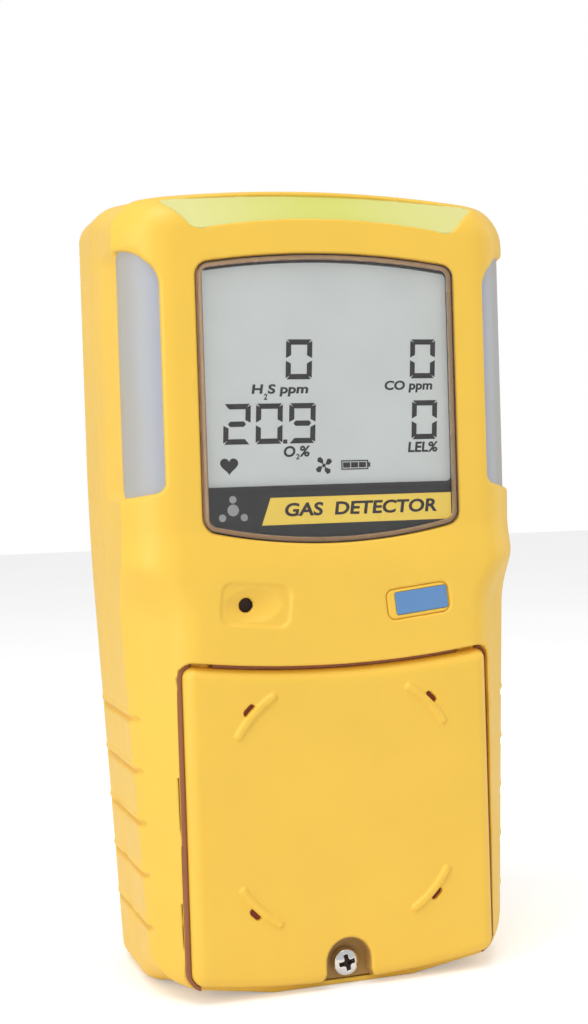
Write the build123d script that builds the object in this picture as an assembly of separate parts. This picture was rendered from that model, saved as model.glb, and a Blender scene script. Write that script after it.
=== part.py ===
"""Portable four-gas detector: a two-shell pocket instrument with a sampling pump.

Millimetres. +X is the object's right as seen from its front, the front faces -Y, +Z is up.
The origin is the centre of the small flat that the case stands on.
"""

import os
from math import cos, radians, sin

from build123d import *

# Case outline, seen from the front
HEIGHT = 131.0
HALF_BASE = 31.2
HALF_WIDEST = 35.0
WIDEST_Z = 76.0
HALF_TOP = 34.8
TOP_CORNER_Z = 127.4
FLAT_HALF = 12.0
BASE_CORNER_Z = 2.0
TOP_CORNER_R = 7.5
BASE_CORNER_R = 6.5

# Case depth: front face, side rails, parting line and back
FRONT_Y = -20.0
RAIL_Y = -13.0
BACK_Y = 20.0
WALL = 2.2
SHELL_GAP = 0.12
UPPER_EDGE_R = 7.0
RAIL_EDGE_R = 5.5
BACK_EDGE_R = 6.0
SHOULDER_Z = 66.0

# Lower block, which the sensor cover closes
BLOCK_HALF = 27.0
SEAM_Y = -17.0
BLOCK_CORNER_R = 4.0
COVER_HALF = 26.1
COVER_TOP_Z = 54.3
COVER_TOP_SAG = 1.9
COVER_BASE_Z = 3.2
COVER_BASE_SAG = 2.2
COVER_GAP = 0.4
COVER_BACK_Y = -17.15
HOOK_X = 23.0

# Cover screw
SCREW_Z = 3.9
SCREW_HEAD_R = 2.3
SCREW_SHANK_R = 1.45
SCREW_SEAT_Y = -17.0
SCREW_TIP_Y = -12.4
BOSS_Z = 5.5
BOSS_R = 5.0
BOSS_FRONT_Y = -15.0
ARCH_R = 3.9

# Display opening
WINDOW_HALF = 22.0
WINDOW_TOP_Z = 117.8
WINDOW_TOP_SAG = 1.8
WINDOW_BASE_Z = 75.5
WINDOW_BASE_SAG = 2.7
LCD_FRONT_Y = -17.0

# Key and sounder recess, both tilted along the smile-shaped row
KEY_X = 13.9
KEY_Z = 62.7
KEY_W = 11.3
KEY_H = 5.3
ROW_TILT = 5.9
KEY_GAP = 0.3
RECESS_X = -13.9
RECESS_Z = 63.4
RECESS_W = 11.4
RECESS_H = 6.6
SOUND_HOLE_X = -15.3
SOUND_HOLE_R = 1.2

# Alarm lenses
BEACON_Y = -18.2
BEACON_Z = 125.7
BEACON_SLOPE = 56.7
BEACON_HALF_FRONT = 21.8
BEACON_HALF_BACK = 26.4
BEACON_THICKNESS = 2.0
SIDE_LENS_INNER_X = 27.6
SIDE_LENS_BACK_Y = -12.0
SIDE_LENS_LOW_Z = 81.0
SIDE_LENS_HIGH_Z = 120.2

# Grip grooves on the side rails
GROOVE_COUNT = 5
GROOVE_TOP_Z = 45.4
GROOVE_PITCH = 8.5
GROOVE_HALF = 0.5
GROOVE_DEPTH = 0.7

# Case screws, as distance from the middle and height
CASE_SCREWS = ((23.2, 12.0), (25.5, 121.6))
CASE_BOSS_R = 3.4

# Sensors
SENSOR_R = 9.5
SENSOR_X = 12.0
SENSOR_ROWS = (20.6, 41.0)
SAMPLE_TUBE_Z = 30.8

# Ribs on the cover: each is an arc whose middle is this far from the cover's middle
RIB_X = 15.0
RIB_ROWS = ((46.0, 1), (14.6, -1))
RIB_ARC_R = 17.0
RIB_HALF_WIDTH = 0.6
RIB_HALF_ANGLE = 14.0
RIB_RISE = 0.45
INLET_R = 0.75

# Belt clip on the back
CLIP_HALF = 9.0
CLIP_PIN_Y = 26.5
CLIP_PIN_Z = 97.0
CLIP_PIN_R = 1.25
PIN_CLEARANCE = 0.05

# Hose spigot on the filter housing
FILTER_X = 0.0
FILTER_Z = 36.0
FILTER_R = 11.0
FILTER_FRONT_Y = 28.0
SPIGOT_Y = 25.2
SPIGOT_R = 2.4
SPIGOT_LENGTH = 6.6
COLLAR_R = 3.6
COLLAR_LENGTH = 0.8


def block(x_range, y_range, z_range):
    """A box between two corners."""
    size = [high - low for low, high in (x_range, y_range, z_range)]
    middle = [(high + low) / 2 for low, high in (x_range, y_range, z_range)]
    return Pos(*middle) * Box(*size)


def rod_y(x, z, radius, y_low, y_high):
    """A round bar along Y."""
    return Pos(x, (y_low + y_high) / 2, z) * Rot(90, 0, 0) * Cylinder(radius, y_high - y_low)


def rod_x(y, z, radius, x_low, x_high):
    """A round bar along X."""
    return Pos((x_low + x_high) / 2, y, z) * Rot(0, 90, 0) * Cylinder(radius, x_high - x_low)


def rod_z(x, y, radius, z_low, z_high):
    """A round bar along Z."""
    return Pos(x, y, (z_low + z_high) / 2) * Cylinder(radius, z_high - z_low)


def front_face(sketch, y):
    """Place a sketch drawn in (x, z) on the plane at this depth, facing the front."""
    return Plane.XZ.offset(-y) * sketch


def slab(sketch, y_front, y_back):
    """A plate with the sketch's outline between two depths."""
    return extrude(front_face(sketch, y_back), y_back - y_front)


def edges_at_y(solid, y):
    """The edges that lie in one plane across the depth."""
    return solid.edges().filter_by_position(Axis.Y, y - 0.01, y + 0.01)


def case_outline(inset=0.0):
    """The case seen from the front: narrow base, widest above the middle, arched top."""
    base = HALF_BASE - inset
    wide = HALF_WIDEST - inset
    top = HALF_TOP - inset
    top_z = TOP_CORNER_Z - inset
    base_z = BASE_CORNER_Z + inset
    right = Polyline((FLAT_HALF, inset), (base, base_z), (wide, WIDEST_Z), (top, top_z))
    crown = ThreePointArc((top, top_z), (0, HEIGHT - inset), (-top, top_z))
    left = Polyline((-top, top_z), (-wide, WIDEST_Z), (-base, base_z), (-FLAT_HALF, inset))
    face = make_face([right, crown, left, Line((-FLAT_HALF, inset), (FLAT_HALF, inset))])
    top_corners = face.vertices().filter_by_position(Axis.Y, top_z - 0.1, top_z + 0.1)
    face = fillet(top_corners, TOP_CORNER_R - inset)
    base_corners = face.vertices().filter_by_position(Axis.Y, base_z - 0.1, base_z + 0.1)
    return fillet(base_corners, BASE_CORNER_R - inset)


def bowed_plate(half, low_z, low_sag, high_z, high_sag, corner_r):
    """A rectangle whose top and bottom edges bow by the given sags, up being positive."""
    top = ThreePointArc((half, high_z), (0, high_z + high_sag), (-half, high_z))
    base = ThreePointArc((-half, low_z), (0, low_z + low_sag), (half, low_z))
    face = make_face([Line((half, low_z), (half, high_z)), top,
                      Line((-half, high_z), (-half, low_z)), base])
    return fillet(face.vertices(), corner_r)


def tilted_slot(x, z, width, height, tilt, corner_r):
    """A rounded rectangle turned to follow the smile-shaped row."""
    return Pos(x, z) * Rot(0, 0, tilt) * RectangleRounded(width, height, corner_r)


def front_block(inset=0.0):
    """The outside of the front casing, pulled in by inset on every side."""
    outline = case_outline(inset)
    rails = slab(outline, RAIL_Y + inset, 0)
    rails = fillet(edges_at_y(rails, RAIL_Y + inset), RAIL_EDGE_R - inset)
    above = Pos(0, (SHOULDER_Z + HEIGHT) / 2 + inset) * Rectangle(90, HEIGHT - SHOULDER_Z)
    upper = slab(outline & above, FRONT_Y + inset, 0)
    upper = fillet(edges_at_y(upper, FRONT_Y + inset), UPPER_EDGE_R - inset)
    half = BLOCK_HALF - inset
    bridge = block((-half, half), (FRONT_Y + inset, 0), (45, WIDEST_Z))
    bridge = fillet(bridge.edges().filter_by(Axis.Z).group_by(Axis.Y)[0], 2.5 - inset)
    bridge -= slab(below_lip(COVER_GAP + inset), FRONT_Y - 1, SEAM_Y + inset)
    foot_z = inset + BASE_CORNER_Z * (BLOCK_HALF - FLAT_HALF) / (HALF_BASE - FLAT_HALF)
    face = make_face(Polyline((-half, SHOULDER_Z), (-half, foot_z), (-FLAT_HALF, inset),
                              (FLAT_HALF, inset), (half, foot_z), (half, SHOULDER_Z),
                              (-half, SHOULDER_Z)))
    feet = face.vertices().filter_by_position(Axis.Y, foot_z - 0.1, foot_z + 0.1)
    lower = slab(fillet(feet, BLOCK_CORNER_R - inset), SEAM_Y + inset, 0)
    return rails + upper + bridge + lower


def cover_outline(grow=0.0):
    """The sensor cover from the front; grow widens it into its opening."""
    return bowed_plate(COVER_HALF + grow, COVER_BASE_Z, -COVER_BASE_SAG,
                       COVER_TOP_Z + grow, -COVER_TOP_SAG, 2.0)


def below_lip(gap):
    """Everything under the arc of the cover's top edge, gap higher than the cover."""
    reach = 40.0
    sag = COVER_TOP_SAG * (reach / COVER_HALF) ** 2
    return bowed_plate(reach, 0, 0.1, COVER_TOP_Z - COVER_TOP_SAG + sag + gap, -sag, 0.5)


def window_outline(shrink=0.0):
    """The display opening from the front, bowed out at its top and bottom."""
    return bowed_plate(WINDOW_HALF - shrink, WINDOW_BASE_Z + shrink, -WINDOW_BASE_SAG,
                       WINDOW_TOP_Z - shrink, WINDOW_TOP_SAG, 2.0)


def beacon_plane():
    """The slanted plane of the alarm lens on the top front edge."""
    normal = (0, -sin(radians(BEACON_SLOPE)), cos(radians(BEACON_SLOPE)))
    return Plane(origin=(0, BEACON_Y, BEACON_Z), x_dir=(1, 0, 0), z_dir=normal)


def beacon_outline(grow=0.0):
    """The lens in its own plane: a curved strip, wider at the back."""
    front = BEACON_HALF_FRONT + grow
    back = BEACON_HALF_BACK + grow
    low = ThreePointArc((-front, -2.2 - grow), (0, -0.5 - grow), (front, -2.2 - grow))
    high = ThreePointArc((back, 2.2 + grow), (0, 4.0 + grow), (-back, 2.2 + grow))
    return make_face([low, Line((front, -2.2 - grow), (back, 2.2 + grow)), high,
                      Line((-back, 2.2 + grow), (-front, -2.2 - grow))])


def side_lens_region(side, shrink=0.0):
    """The space of one corner alarm lens; side is -1 for the left and +1 for the right."""
    inner = SIDE_LENS_INNER_X + shrink
    profile = make_face(Polyline(
        (-22, SIDE_LENS_LOW_Z + 2.5 + shrink), (SIDE_LENS_BACK_Y - shrink, SIDE_LENS_LOW_Z + shrink),
        (SIDE_LENS_BACK_Y - shrink, SIDE_LENS_HIGH_Z - shrink),
        (-15, SIDE_LENS_HIGH_Z - shrink), (-22, SIDE_LENS_HIGH_Z - 6 - shrink),
        (-22, SIDE_LENS_LOW_Z + 2.5 + shrink)))
    prism = extrude(Plane.YZ * profile, 40)
    region = prism - block((-1, inner), (-30, 10), (70, 130))
    return region if side > 0 else mirror(region, Plane.YZ)


def grip_grooves(y_low, y_high):
    """Five shallow channels across each side rail."""
    cuts = []
    for side in (-1, 1):
        for row in range(GROOVE_COUNT):
            z = GROOVE_TOP_Z - row * GROOVE_PITCH
            rail_x = HALF_BASE + (HALF_WIDEST - HALF_BASE) * z / WIDEST_Z
            inner = rail_x - GROOVE_DEPTH
            ends = (inner, inner + 4) if side > 0 else (-inner - 4, -inner)
            cuts.append(block(ends, (y_low, y_high), (z - GROOVE_HALF, z + GROOVE_HALF)))
    return Compound(cuts)


def make_front_shell():
    """Front casing: display, key, sounder, lens and sensor openings, and the screw boss."""
    shell = front_block() - slab(case_outline(WALL), RAIL_Y + WALL, 1)
    shell -= front_block(WALL)
    shell += rod_y(0, BOSS_Z, BOSS_R, BOSS_FRONT_Y, -9.0) & front_block()
    shell -= slab(window_outline(), FRONT_Y - 1, -14)
    shell -= slab(tilted_slot(KEY_X, KEY_Z, KEY_W, KEY_H, ROW_TILT, 1.4), FRONT_Y - 1, -14)
    recess = tilted_slot(RECESS_X, RECESS_Z, RECESS_W, RECESS_H, -ROW_TILT, 1.6)
    shell -= slab(recess, FRONT_Y - 1, FRONT_Y + 0.9)
    shell -= rod_y(SOUND_HOLE_X, RECESS_Z, SOUND_HOLE_R, -22, -15)
    shell -= extrude(beacon_plane() * beacon_outline(0.15), 8, both=True) & block(
        (-40, 40), (-24, -12), (110, 140))
    for side in (-1, 1):
        shell -= side_lens_region(side)
    opening = bowed_plate(24.0, 10.8, -0.2, 51.4, -0.4, 2.0)
    shell -= slab(opening, -18, -12)
    for x, z in case_screw_places():
        side = 1 if x > 0 else -1
        web_x = sorted((x + side, side * 33.6))
        shell += rod_y(x, z, CASE_BOSS_R, -14.5, 0)
        shell += block(web_x, (-11.5, -2.0), (z, z + 1.4)) & slab(case_outline(1.0), -11.5, 0)
        shell -= rod_y(x, z, 1.4, -8.5, 1)
    for x in (-HOOK_X, HOOK_X):
        shell -= block((x - 2.2, x + 2.2), (-17.8, -13), (50, 58.5))
    shell -= slab(arch_sketch(1.8), -21, BOSS_FRONT_Y)
    shell -= rod_y(0, SCREW_Z, 2.72, -16, -11.4)
    shell -= block((-50, 50), (-SHELL_GAP / 2, 3), (-1, 140))
    return shell - grip_grooves(-9.5, 1)


def make_rear_shell():
    """Rear casing, a shallow tub with grip grooves and the filter and screw bores."""
    tub = slab(case_outline(), 0, BACK_Y)
    tub = fillet(edges_at_y(tub, BACK_Y), BACK_EDGE_R)
    hollow = slab(case_outline(WALL), -1, BACK_Y - WALL)
    hollow = fillet(edges_at_y(hollow, BACK_Y - WALL), BACK_EDGE_R - WALL)
    shell = tub - hollow
    for x, z in case_screw_places():
        shell += rod_y(x, z, CASE_BOSS_R, SHELL_GAP / 2, BACK_Y - 1)
        shell -= rod_y(x, z, 1.45, -1, 25)
        shell -= rod_y(x, z, 2.6, 17.5, 25)
    shell -= rod_y(FILTER_X, FILTER_Z, 6.0, 15, 25)
    shell -= block((-6.2, 6.2), (10, 25), (6, 12))
    shell -= block((-5.2, 5.2), (10, 25), (117.8, 122.2))
    for x, z in clip_screw_places():
        shell -= rod_y(x, z, 1.05, 15, 25)
    shell -= block((-50, 50), (-3, SHELL_GAP / 2), (-1, 140))
    return shell - grip_grooves(-1, 14)


def case_screw_places():
    """Centres of the screws that hold the shells together."""
    return [(x * side, z) for x, z in CASE_SCREWS for side in (-1, 1)]


def clip_screw_places():
    """Centres of the screws that hold the belt clip."""
    return [(0.0, 72.0), (0.0, 108.0)]


def make_case_gasket():
    """Thin seal that lies just inside the parting line."""
    return slab(case_outline(WALL + 0.1), -1.5, 1.5) - slab(case_outline(WALL + 1.1), -2, 2)


def make_case_screws():
    """Four long screws through the rear bosses."""
    screws = []
    for x, z in case_screw_places():
        head = rod_y(x, z, 2.3, 17.7, 19.4)
        head -= block((x - 1.4, x + 1.4), (18.7, 20), (z - 0.3, z + 0.3))
        screws.append(head + rod_y(x, z, 1.3, -7.0, 17.7))
    return Compound(screws)


def make_display_window():
    """Clear plate over the display and the nameplate."""
    return slab(window_outline(0.12), -19.3, -18.1)


def make_display_frame():
    """Dark frame that holds the display panel and the nameplate behind the window."""
    outer = bowed_plate(23.6, 73.2, -1.0, 119.4, 1.0, 1.5)
    frame = slab(outer, -17.6, -15.1)
    frame -= slab(bowed_plate(21.3, 82.3, 0.05, 116.6, 1.7, 0.8), -19, -13)
    frame -= block((-22.7, 22.7), (LCD_FRONT_Y - 0.05, -15), (82.0, 119.0))
    seat = bowed_plate(21.85, WINDOW_BASE_Z + 0.2, -WINDOW_BASE_SAG, 81.6, 0.05, 0.6)
    frame -= slab(seat, -19, -16.8)
    return frame + slab(bowed_plate(21.8, 81.8, 0.05, 82.25, 0.05, 0.1), -18.0, -17.6)


def make_nameplate():
    """Black strip below the display."""
    face = bowed_plate(21.8, WINDOW_BASE_Z + 0.3, -WINDOW_BASE_SAG, 81.5, 0.05, 0.6)
    return slab(face, -17.8, -16.85)


def make_stripe():
    """Yellow sloping stripe printed on the nameplate."""
    face = make_face(Polyline((-10.5, 80.4), (20.9, 80.4), (20.9, 76.0), (-12.1, 76.0),
                              (-10.5, 80.4)))
    return slab(face, -17.95, -17.81)


def make_lcd_panel():
    """Liquid crystal panel."""
    return block((-22.6, 22.6), (LCD_FRONT_Y, -15.3), (82.1, 118.9))


def make_backlight():
    """Light guide behind the panel."""
    return block((-22.0, 22.0), (-15.2, -13.4), (82.5, 118.0))


def make_beacon_lens():
    """Top alarm lens, a thick strip sunk into the slanted front edge."""
    return extrude(beacon_plane() * beacon_outline(), -BEACON_THICKNESS)


def make_side_lens(side):
    """Corner alarm lens, a curved plate that follows the casing's corner."""
    skin = front_block(0.5) - front_block(2.4)
    return side_lens_region(side, 0.12) & skin


def make_main_board():
    """Main circuit board with its larger chips."""
    board = block((-26.5, 26.5), (-11.4, -9.8), (68.4, 116.0))
    board += block((-22.0, 22.0), (-11.4, -9.8), (54.0, 68.4))
    for x in (-18.0, 2.0, 17.0):
        board += block((x - 4, x + 4), (-9.8, -8.4), (92.0, 100.0))
    return board


def make_alarm_lamps():
    """Light-emitting diodes behind the three alarm lenses."""
    lamps = [block((x - 1.6, x + 1.6), (-15.2, -13.4), (120.6, 122.0)) for x in (-14, 0, 14)]
    for x in (-27.6, 27.6):
        lamps += [block((x - 0.9, x + 0.9), (-11.4, -9.8), (z - 1.5, z + 1.5)) for z in (92, 108)]
    return Compound(lamps)


def make_push_button():
    """Key with a retaining flange and a post over its switch."""
    cap = slab(tilted_slot(KEY_X, KEY_Z, KEY_W - 2 * KEY_GAP, KEY_H - 2 * KEY_GAP, ROW_TILT, 1.2),
               FRONT_Y + 0.1, -15.5)
    flange = slab(tilted_slot(KEY_X, KEY_Z, KEY_W + 1.2, KEY_H + 1.2, ROW_TILT, 1.6),
                  -17.4, -16.4)
    post = rod_y(KEY_X, KEY_Z, 1.5, -15.6, -14.4)
    inlay_seat = slab(tilted_slot(KEY_X + 0.6, KEY_Z + 0.1, 9.3, 3.8, ROW_TILT, 0.4),
                      FRONT_Y - 1, FRONT_Y + 0.6)
    return cap + flange + post - inlay_seat


def make_button_inlay():
    """Blue bar set into the key."""
    return slab(tilted_slot(KEY_X + 0.6, KEY_Z + 0.1, 9.2, 3.7, ROW_TILT, 0.35),
                FRONT_Y + 0.02, FRONT_Y + 0.58)


def make_tact_switch():
    """Switch on the board under the key."""
    return block((KEY_X - 3, KEY_X + 3), (-13.4, -11.4), (KEY_Z - 3, KEY_Z + 3))


def make_sounder():
    """Round sounder behind the recess."""
    body = rod_y(RECESS_X, RECESS_Z, 6.0, -16.0, -11.5)
    return body - rod_y(RECESS_X, RECESS_Z, 1.5, -17, -14)


def make_sounder_membrane():
    """Splash membrane between the sound hole and the sounder."""
    return rod_y(RECESS_X, RECESS_Z, 5.0, -17.5, -16.2)


def arch_sketch(grow=0.0):
    """The screw's arch at the cover's lower edge, flared at its mouth."""
    radius = ARCH_R + grow
    mouth = Polyline((-radius - 1.2, -2), (-radius, 2.6), (-radius, 4.5), (radius, 4.5),
                     (radius, 2.6), (radius + 1.2, -2), (-radius - 1.2, -2))
    return make_face(mouth) + Pos(0, 4.5) * Circle(radius)


def cover_ribs():
    """Four short curved ribs, bowed away from the cover's middle."""
    ribs = []
    reach = RIB_ARC_R * sin(radians(45))
    spread = RIB_ARC_R * sin(radians(RIB_HALF_ANGLE)) * 1.2
    ring = Circle(RIB_ARC_R + RIB_HALF_WIDTH) - Circle(RIB_ARC_R - RIB_HALF_WIDTH)
    sector = make_face(Polyline((0, 0), (1.2 * RIB_ARC_R, spread), (1.2 * RIB_ARC_R, -spread), (0, 0)))
    for side in (-1, 1):
        for z, up in RIB_ROWS:
            angle = up * (90 - side * 45)
            arc = Rot(0, 0, angle) * (ring & sector)
            centre = (side * (RIB_X - reach), z - up * reach)
            ribs.append(slab(Pos(*centre) * arc, FRONT_Y - RIB_RISE, FRONT_Y + 0.5))
    return ribs


def cover_inlet_places():
    """Small gas inlets, one outside each rib."""
    return [(side * (RIB_X + 0.9), z + 0.9 * up) for side in (-1, 1) for z, up in RIB_ROWS]


def make_sensor_cover():
    """Lower front cover with ribs, inlets, screw arch, screw seat and two hooks."""
    plate = slab(cover_outline(), FRONT_Y, COVER_BACK_Y)
    plate = fillet(edges_at_y(plate, FRONT_Y), 2.2)
    hollow = bowed_plate(23.6, 12.0, -0.2, 50.4, -0.4, 2.0)
    plate -= slab(hollow, -18.4, -16)
    plate -= slab(arch_sketch(), -21, -16)
    for rib in cover_ribs():
        plate += rib
    for x, z in cover_inlet_places():
        plate -= rod_y(x, z, INLET_R, -21, -16)
    seat = slab(arch_sketch(1.5) & case_outline(0.15), SCREW_SEAT_Y - 0.7, BOSS_FRONT_Y - 0.2)
    plate += seat - slab(arch_sketch(), -21, SCREW_SEAT_Y)
    plate -= rod_y(0, SCREW_Z, SCREW_SHANK_R + PIN_CLEARANCE, -21, -14)
    for x in (-HOOK_X, HOOK_X):
        plate += block((x - 1.5, x + 1.5), (-17.4, -16.2), (51.6, 56.4))
    return plate


def make_cover_screw():
    """Pan-head cross-recess screw that stays captive in the cover."""
    seat_y = SCREW_SEAT_Y - 0.1
    crown_y = seat_y - 1.7
    head = rod_y(0, SCREW_Z, SCREW_HEAD_R, crown_y, seat_y)
    head = fillet(edges_at_y(head, crown_y), 0.9)
    recess_y = (crown_y - 1, crown_y + 1)
    head -= block((-1.35, 1.35), recess_y, (SCREW_Z - 0.28, SCREW_Z + 0.28))
    head -= block((-0.28, 0.28), recess_y, (SCREW_Z - 1.35, SCREW_Z + 1.35))
    return head + rod_y(0, SCREW_Z, SCREW_SHANK_R, seat_y, SCREW_TIP_Y)


def make_screw_insert():
    """Brass insert that the cover screw enters."""
    return rod_y(0, SCREW_Z, 2.7, -14.9, -11.5) - rod_y(0, SCREW_Z, 2.05, -16, -10)


def make_sensor(column, row):
    """One gas sensor can with its pins."""
    x = column * SENSOR_X
    can = rod_y(x, row, SENSOR_R, -15.4, -4.0)
    can = fillet(edges_at_y(can, -15.4), 0.8)
    can -= rod_y(x, row, 1.4, -16, -14.6)
    for turn in (90, 210, 330):
        can += rod_y(x + 6.5 * cos(radians(turn)), row + 6.5 * sin(radians(turn)), 0.5, -4.0, -2.1)
    return can


def make_sensor_gasket():
    """Foam gasket that presses on the sensors, with a hole over each inlet."""
    pad = slab(bowed_plate(23.3, 11.2, 0.1, 50.8, -0.4, 2.0), -16.6, -15.5)
    pad -= rod_y(0, SAMPLE_TUBE_Z, 1.0, -20, -14)
    for column in (-1, 1):
        for row in SENSOR_ROWS:
            pad -= rod_y(column * SENSOR_X, row, 4.0, -20, -14)
    return pad


def make_sensor_board():
    """Small board that carries the sensor sockets."""
    board = block((-24, 24), (-2.0, -0.6), (6.0, 51.0)) - rod_y(0, SAMPLE_TUBE_Z, 1.75, -3, 0)
    for x, z in case_screw_places():
        board -= rod_y(x, z, 3.9, -3, 0)
    return board


def make_pump_body():
    """Diaphragm pump housing with its crank chamber open to one side."""
    body = block((-22, -4), (2.0, 14.0), (16.0, 44.0)) + block((-5, 6), (2.0, 11.0), (28.5, 44.0))
    chamber = rod_x(8.0, 22.0, 5.2, -14.0, -3)
    inlet = rod_y(FILTER_X, FILTER_Z, 1.2, 10.5, 13.0)
    return body - chamber + inlet


def make_pump_motor():
    """Pump motor with its shaft."""
    can = rod_x(8.0, 22.0, 5.8, -3.6, 14.0)
    return can + rod_x(8.0, 22.0, 0.75, -8.0, -3.6)


def make_pump_crank():
    """Eccentric that turns on the motor shaft and drives the diaphragm."""
    disc = rod_x(8.0, 21.0, 3.4, -9.0, -5.2)
    return disc - rod_x(8.0, 22.0, 0.8, -12, -2)


def make_filter_housing():
    """Round inlet filter housing on the back with its hose spigot."""
    rim = rod_y(FILTER_X, FILTER_Z, FILTER_R, BACK_Y, FILTER_FRONT_Y)
    rim = fillet(edges_at_y(rim, FILTER_FRONT_Y), 1.2)
    throat = rod_y(FILTER_X, FILTER_Z, 5.8, 14.6, BACK_Y + 0.1)
    body = rim + throat
    body -= rod_y(FILTER_X, FILTER_Z, 9.0, 21.0, 25.8)
    body -= rod_y(FILTER_X, FILTER_Z, 1.5, 10, 22)
    collar_z = FILTER_Z - FILTER_R - COLLAR_LENGTH
    low_z = collar_z - SPIGOT_LENGTH
    body += rod_z(FILTER_X, SPIGOT_Y, COLLAR_R, collar_z, FILTER_Z - 9.5)
    body += rod_z(FILTER_X, SPIGOT_Y, SPIGOT_R, low_z, collar_z)
    return body - rod_z(FILTER_X, SPIGOT_Y - 0.6, 1.2, low_z - 1, FILTER_Z - 4)


def make_filter_disc():
    """Dust filter inside the housing."""
    return rod_y(FILTER_X, FILTER_Z, 8.9, 21.1, 22.4)


def make_filter_seal():
    """Ring seal round the housing's throat, inside the case."""
    ring = rod_y(FILTER_X, FILTER_Z, 7.4, 15.9, 17.7)
    return ring - rod_y(FILTER_X, FILTER_Z, 5.85, 15, 19)


def make_inlet_tube():
    """Soft sleeve from the filter throat to the pump's inlet."""
    return rod_y(FILTER_X, FILTER_Z, 2.3, 11.0, 14.5) - rod_y(FILTER_X, FILTER_Z, 1.25, 10, 15)


def make_sample_tube():
    """Straight tube from the pump, between the sensors, to the space under the cover."""
    return rod_y(0, SAMPLE_TUBE_Z, 1.6, -15.4, 1.9) - rod_y(0, SAMPLE_TUBE_Z, 0.9, -16, 3)


def make_battery_pack():
    """Rechargeable pack in the upper rear casing."""
    pack = block((-24.0, 24.0), (2.6, 15.6), (60.0, 112.0))
    return fillet(pack.edges().filter_by(Axis.Y), 3.0)


def make_vibrator_motor():
    """Small motor that shakes the case on alarm."""
    can = rod_x(8.0, 52.0, 3.4, 8.0, 19.0)
    return can + rod_x(8.0, 52.0, 0.5, 19.0, 23.2)


def make_vibrator_weight():
    """Half-round eccentric weight on the vibrator's shaft."""
    hub = rod_x(8.0, 52.0, 1.4, 19.8, 23.4)
    lobe = rod_x(8.0, 52.0, 3.6, 19.8, 23.4) - block((19, 24), (0, 16), (52.0, 60))
    return hub + lobe - rod_x(8.0, 52.0, 0.55, 15, 25)


def make_charge_contacts():
    """Contact block low on the back, with two plated pads."""
    base = block((-6.0, 6.0), (15.0, 19.4), (6.2, 11.8))
    for x in (-3.2, 3.2):
        base += rod_y(x, 9.0, 1.4, 19.0, 19.9)
    return base


def make_data_window():
    """Infrared window high on the back."""
    return block((-5.0, 5.0), (16.8, 19.7), (118.0, 122.0))


def make_clip_base():
    """Clip plate screwed to the back, with two ears for the pin."""
    plate = block((-CLIP_HALF, CLIP_HALF), (BACK_Y + 0.02, 21.4), (62.0, 113.0))
    plate = fillet(plate.edges().filter_by(Axis.Y), 2.5)
    ears = make_face(Polyline((21.0, 91.0), (26.0, 94.0), (29.0, 97.0), (26.5, 99.8), (21.0, 103.0),
                              (21.0, 91.0)))
    for x in (-CLIP_HALF, CLIP_HALF - 1.4):
        plate += Pos(x, 0, 0) * extrude(Plane.YZ * ears, 1.4)
    for x, z in clip_screw_places():
        plate -= rod_y(x, z, 1.3, 15, 25)
    return plate - rod_x(CLIP_PIN_Y, CLIP_PIN_Z, CLIP_PIN_R, -12, 12)


def make_clip_screws():
    """Two pan-head screws through the clip plate."""
    screws = []
    for x, z in clip_screw_places():
        head = rod_y(x, z, 2.4, 21.4, 22.8)
        head -= block((x - 1.5, x + 1.5), (22.2, 24), (z - 0.3, z + 0.3))
        screws.append(head + rod_y(x, z, 1.0, 17.9, 21.4))
    return Compound(screws)


def make_clip_pin():
    """Pin through the ears and the jaw."""
    return rod_x(CLIP_PIN_Y, CLIP_PIN_Z, CLIP_PIN_R, -CLIP_HALF - 0.4, CLIP_HALF + 0.4)


def make_clip_jaw():
    """Sprung jaw: a plate with a toothed lower lip and a thumb pad above the pin."""
    lever = make_face(Polyline((27.0, 99.0), (30.0, 112.0), (31.4, 112.0), (28.6, 97.0),
                               (28.6, 68.0), (24.6, 62.0), (21.9, 62.6), (24.4, 65.0), (27.2, 70.5),
                               (27.2, 92.0), (27.0, 99.0)))
    half = CLIP_HALF - 1.9
    plate = Pos(-half, 0, 0) * extrude(Plane.YZ * lever, 2 * half)
    for x in (-half, half - 1.6):
        knuckle = make_face(Polyline((24.4, 95.0), (28.0, 92.0), (28.6, 97.0), (28.0, 101.0),
                                     (24.4, 99.2), (24.4, 95.0)))
        plate += Pos(x, 0, 0) * extrude(Plane.YZ * knuckle, 1.6)
    plate -= block((-4.2, 4.2), (20, 35), (CLIP_PIN_Z - 3.6, CLIP_PIN_Z + 3.6))
    return plate - rod_x(CLIP_PIN_Y, CLIP_PIN_Z, CLIP_PIN_R + PIN_CLEARANCE, -12, 12)


def make_clip_spring():
    """Torsion spring: close turns round the pin with one leg on the plate."""
    turns = []
    for index in range(6):
        x = -2.75 + index * 1.1
        turns.append(Pos(x, CLIP_PIN_Y, CLIP_PIN_Z) * Rot(0, 90, 0) * Torus(1.95, 0.45))
    turns.append(block((-3.1, -2.4), (21.4, 24.3), (CLIP_PIN_Z - 0.4, CLIP_PIN_Z + 0.4)))
    return Compound(turns)


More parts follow.
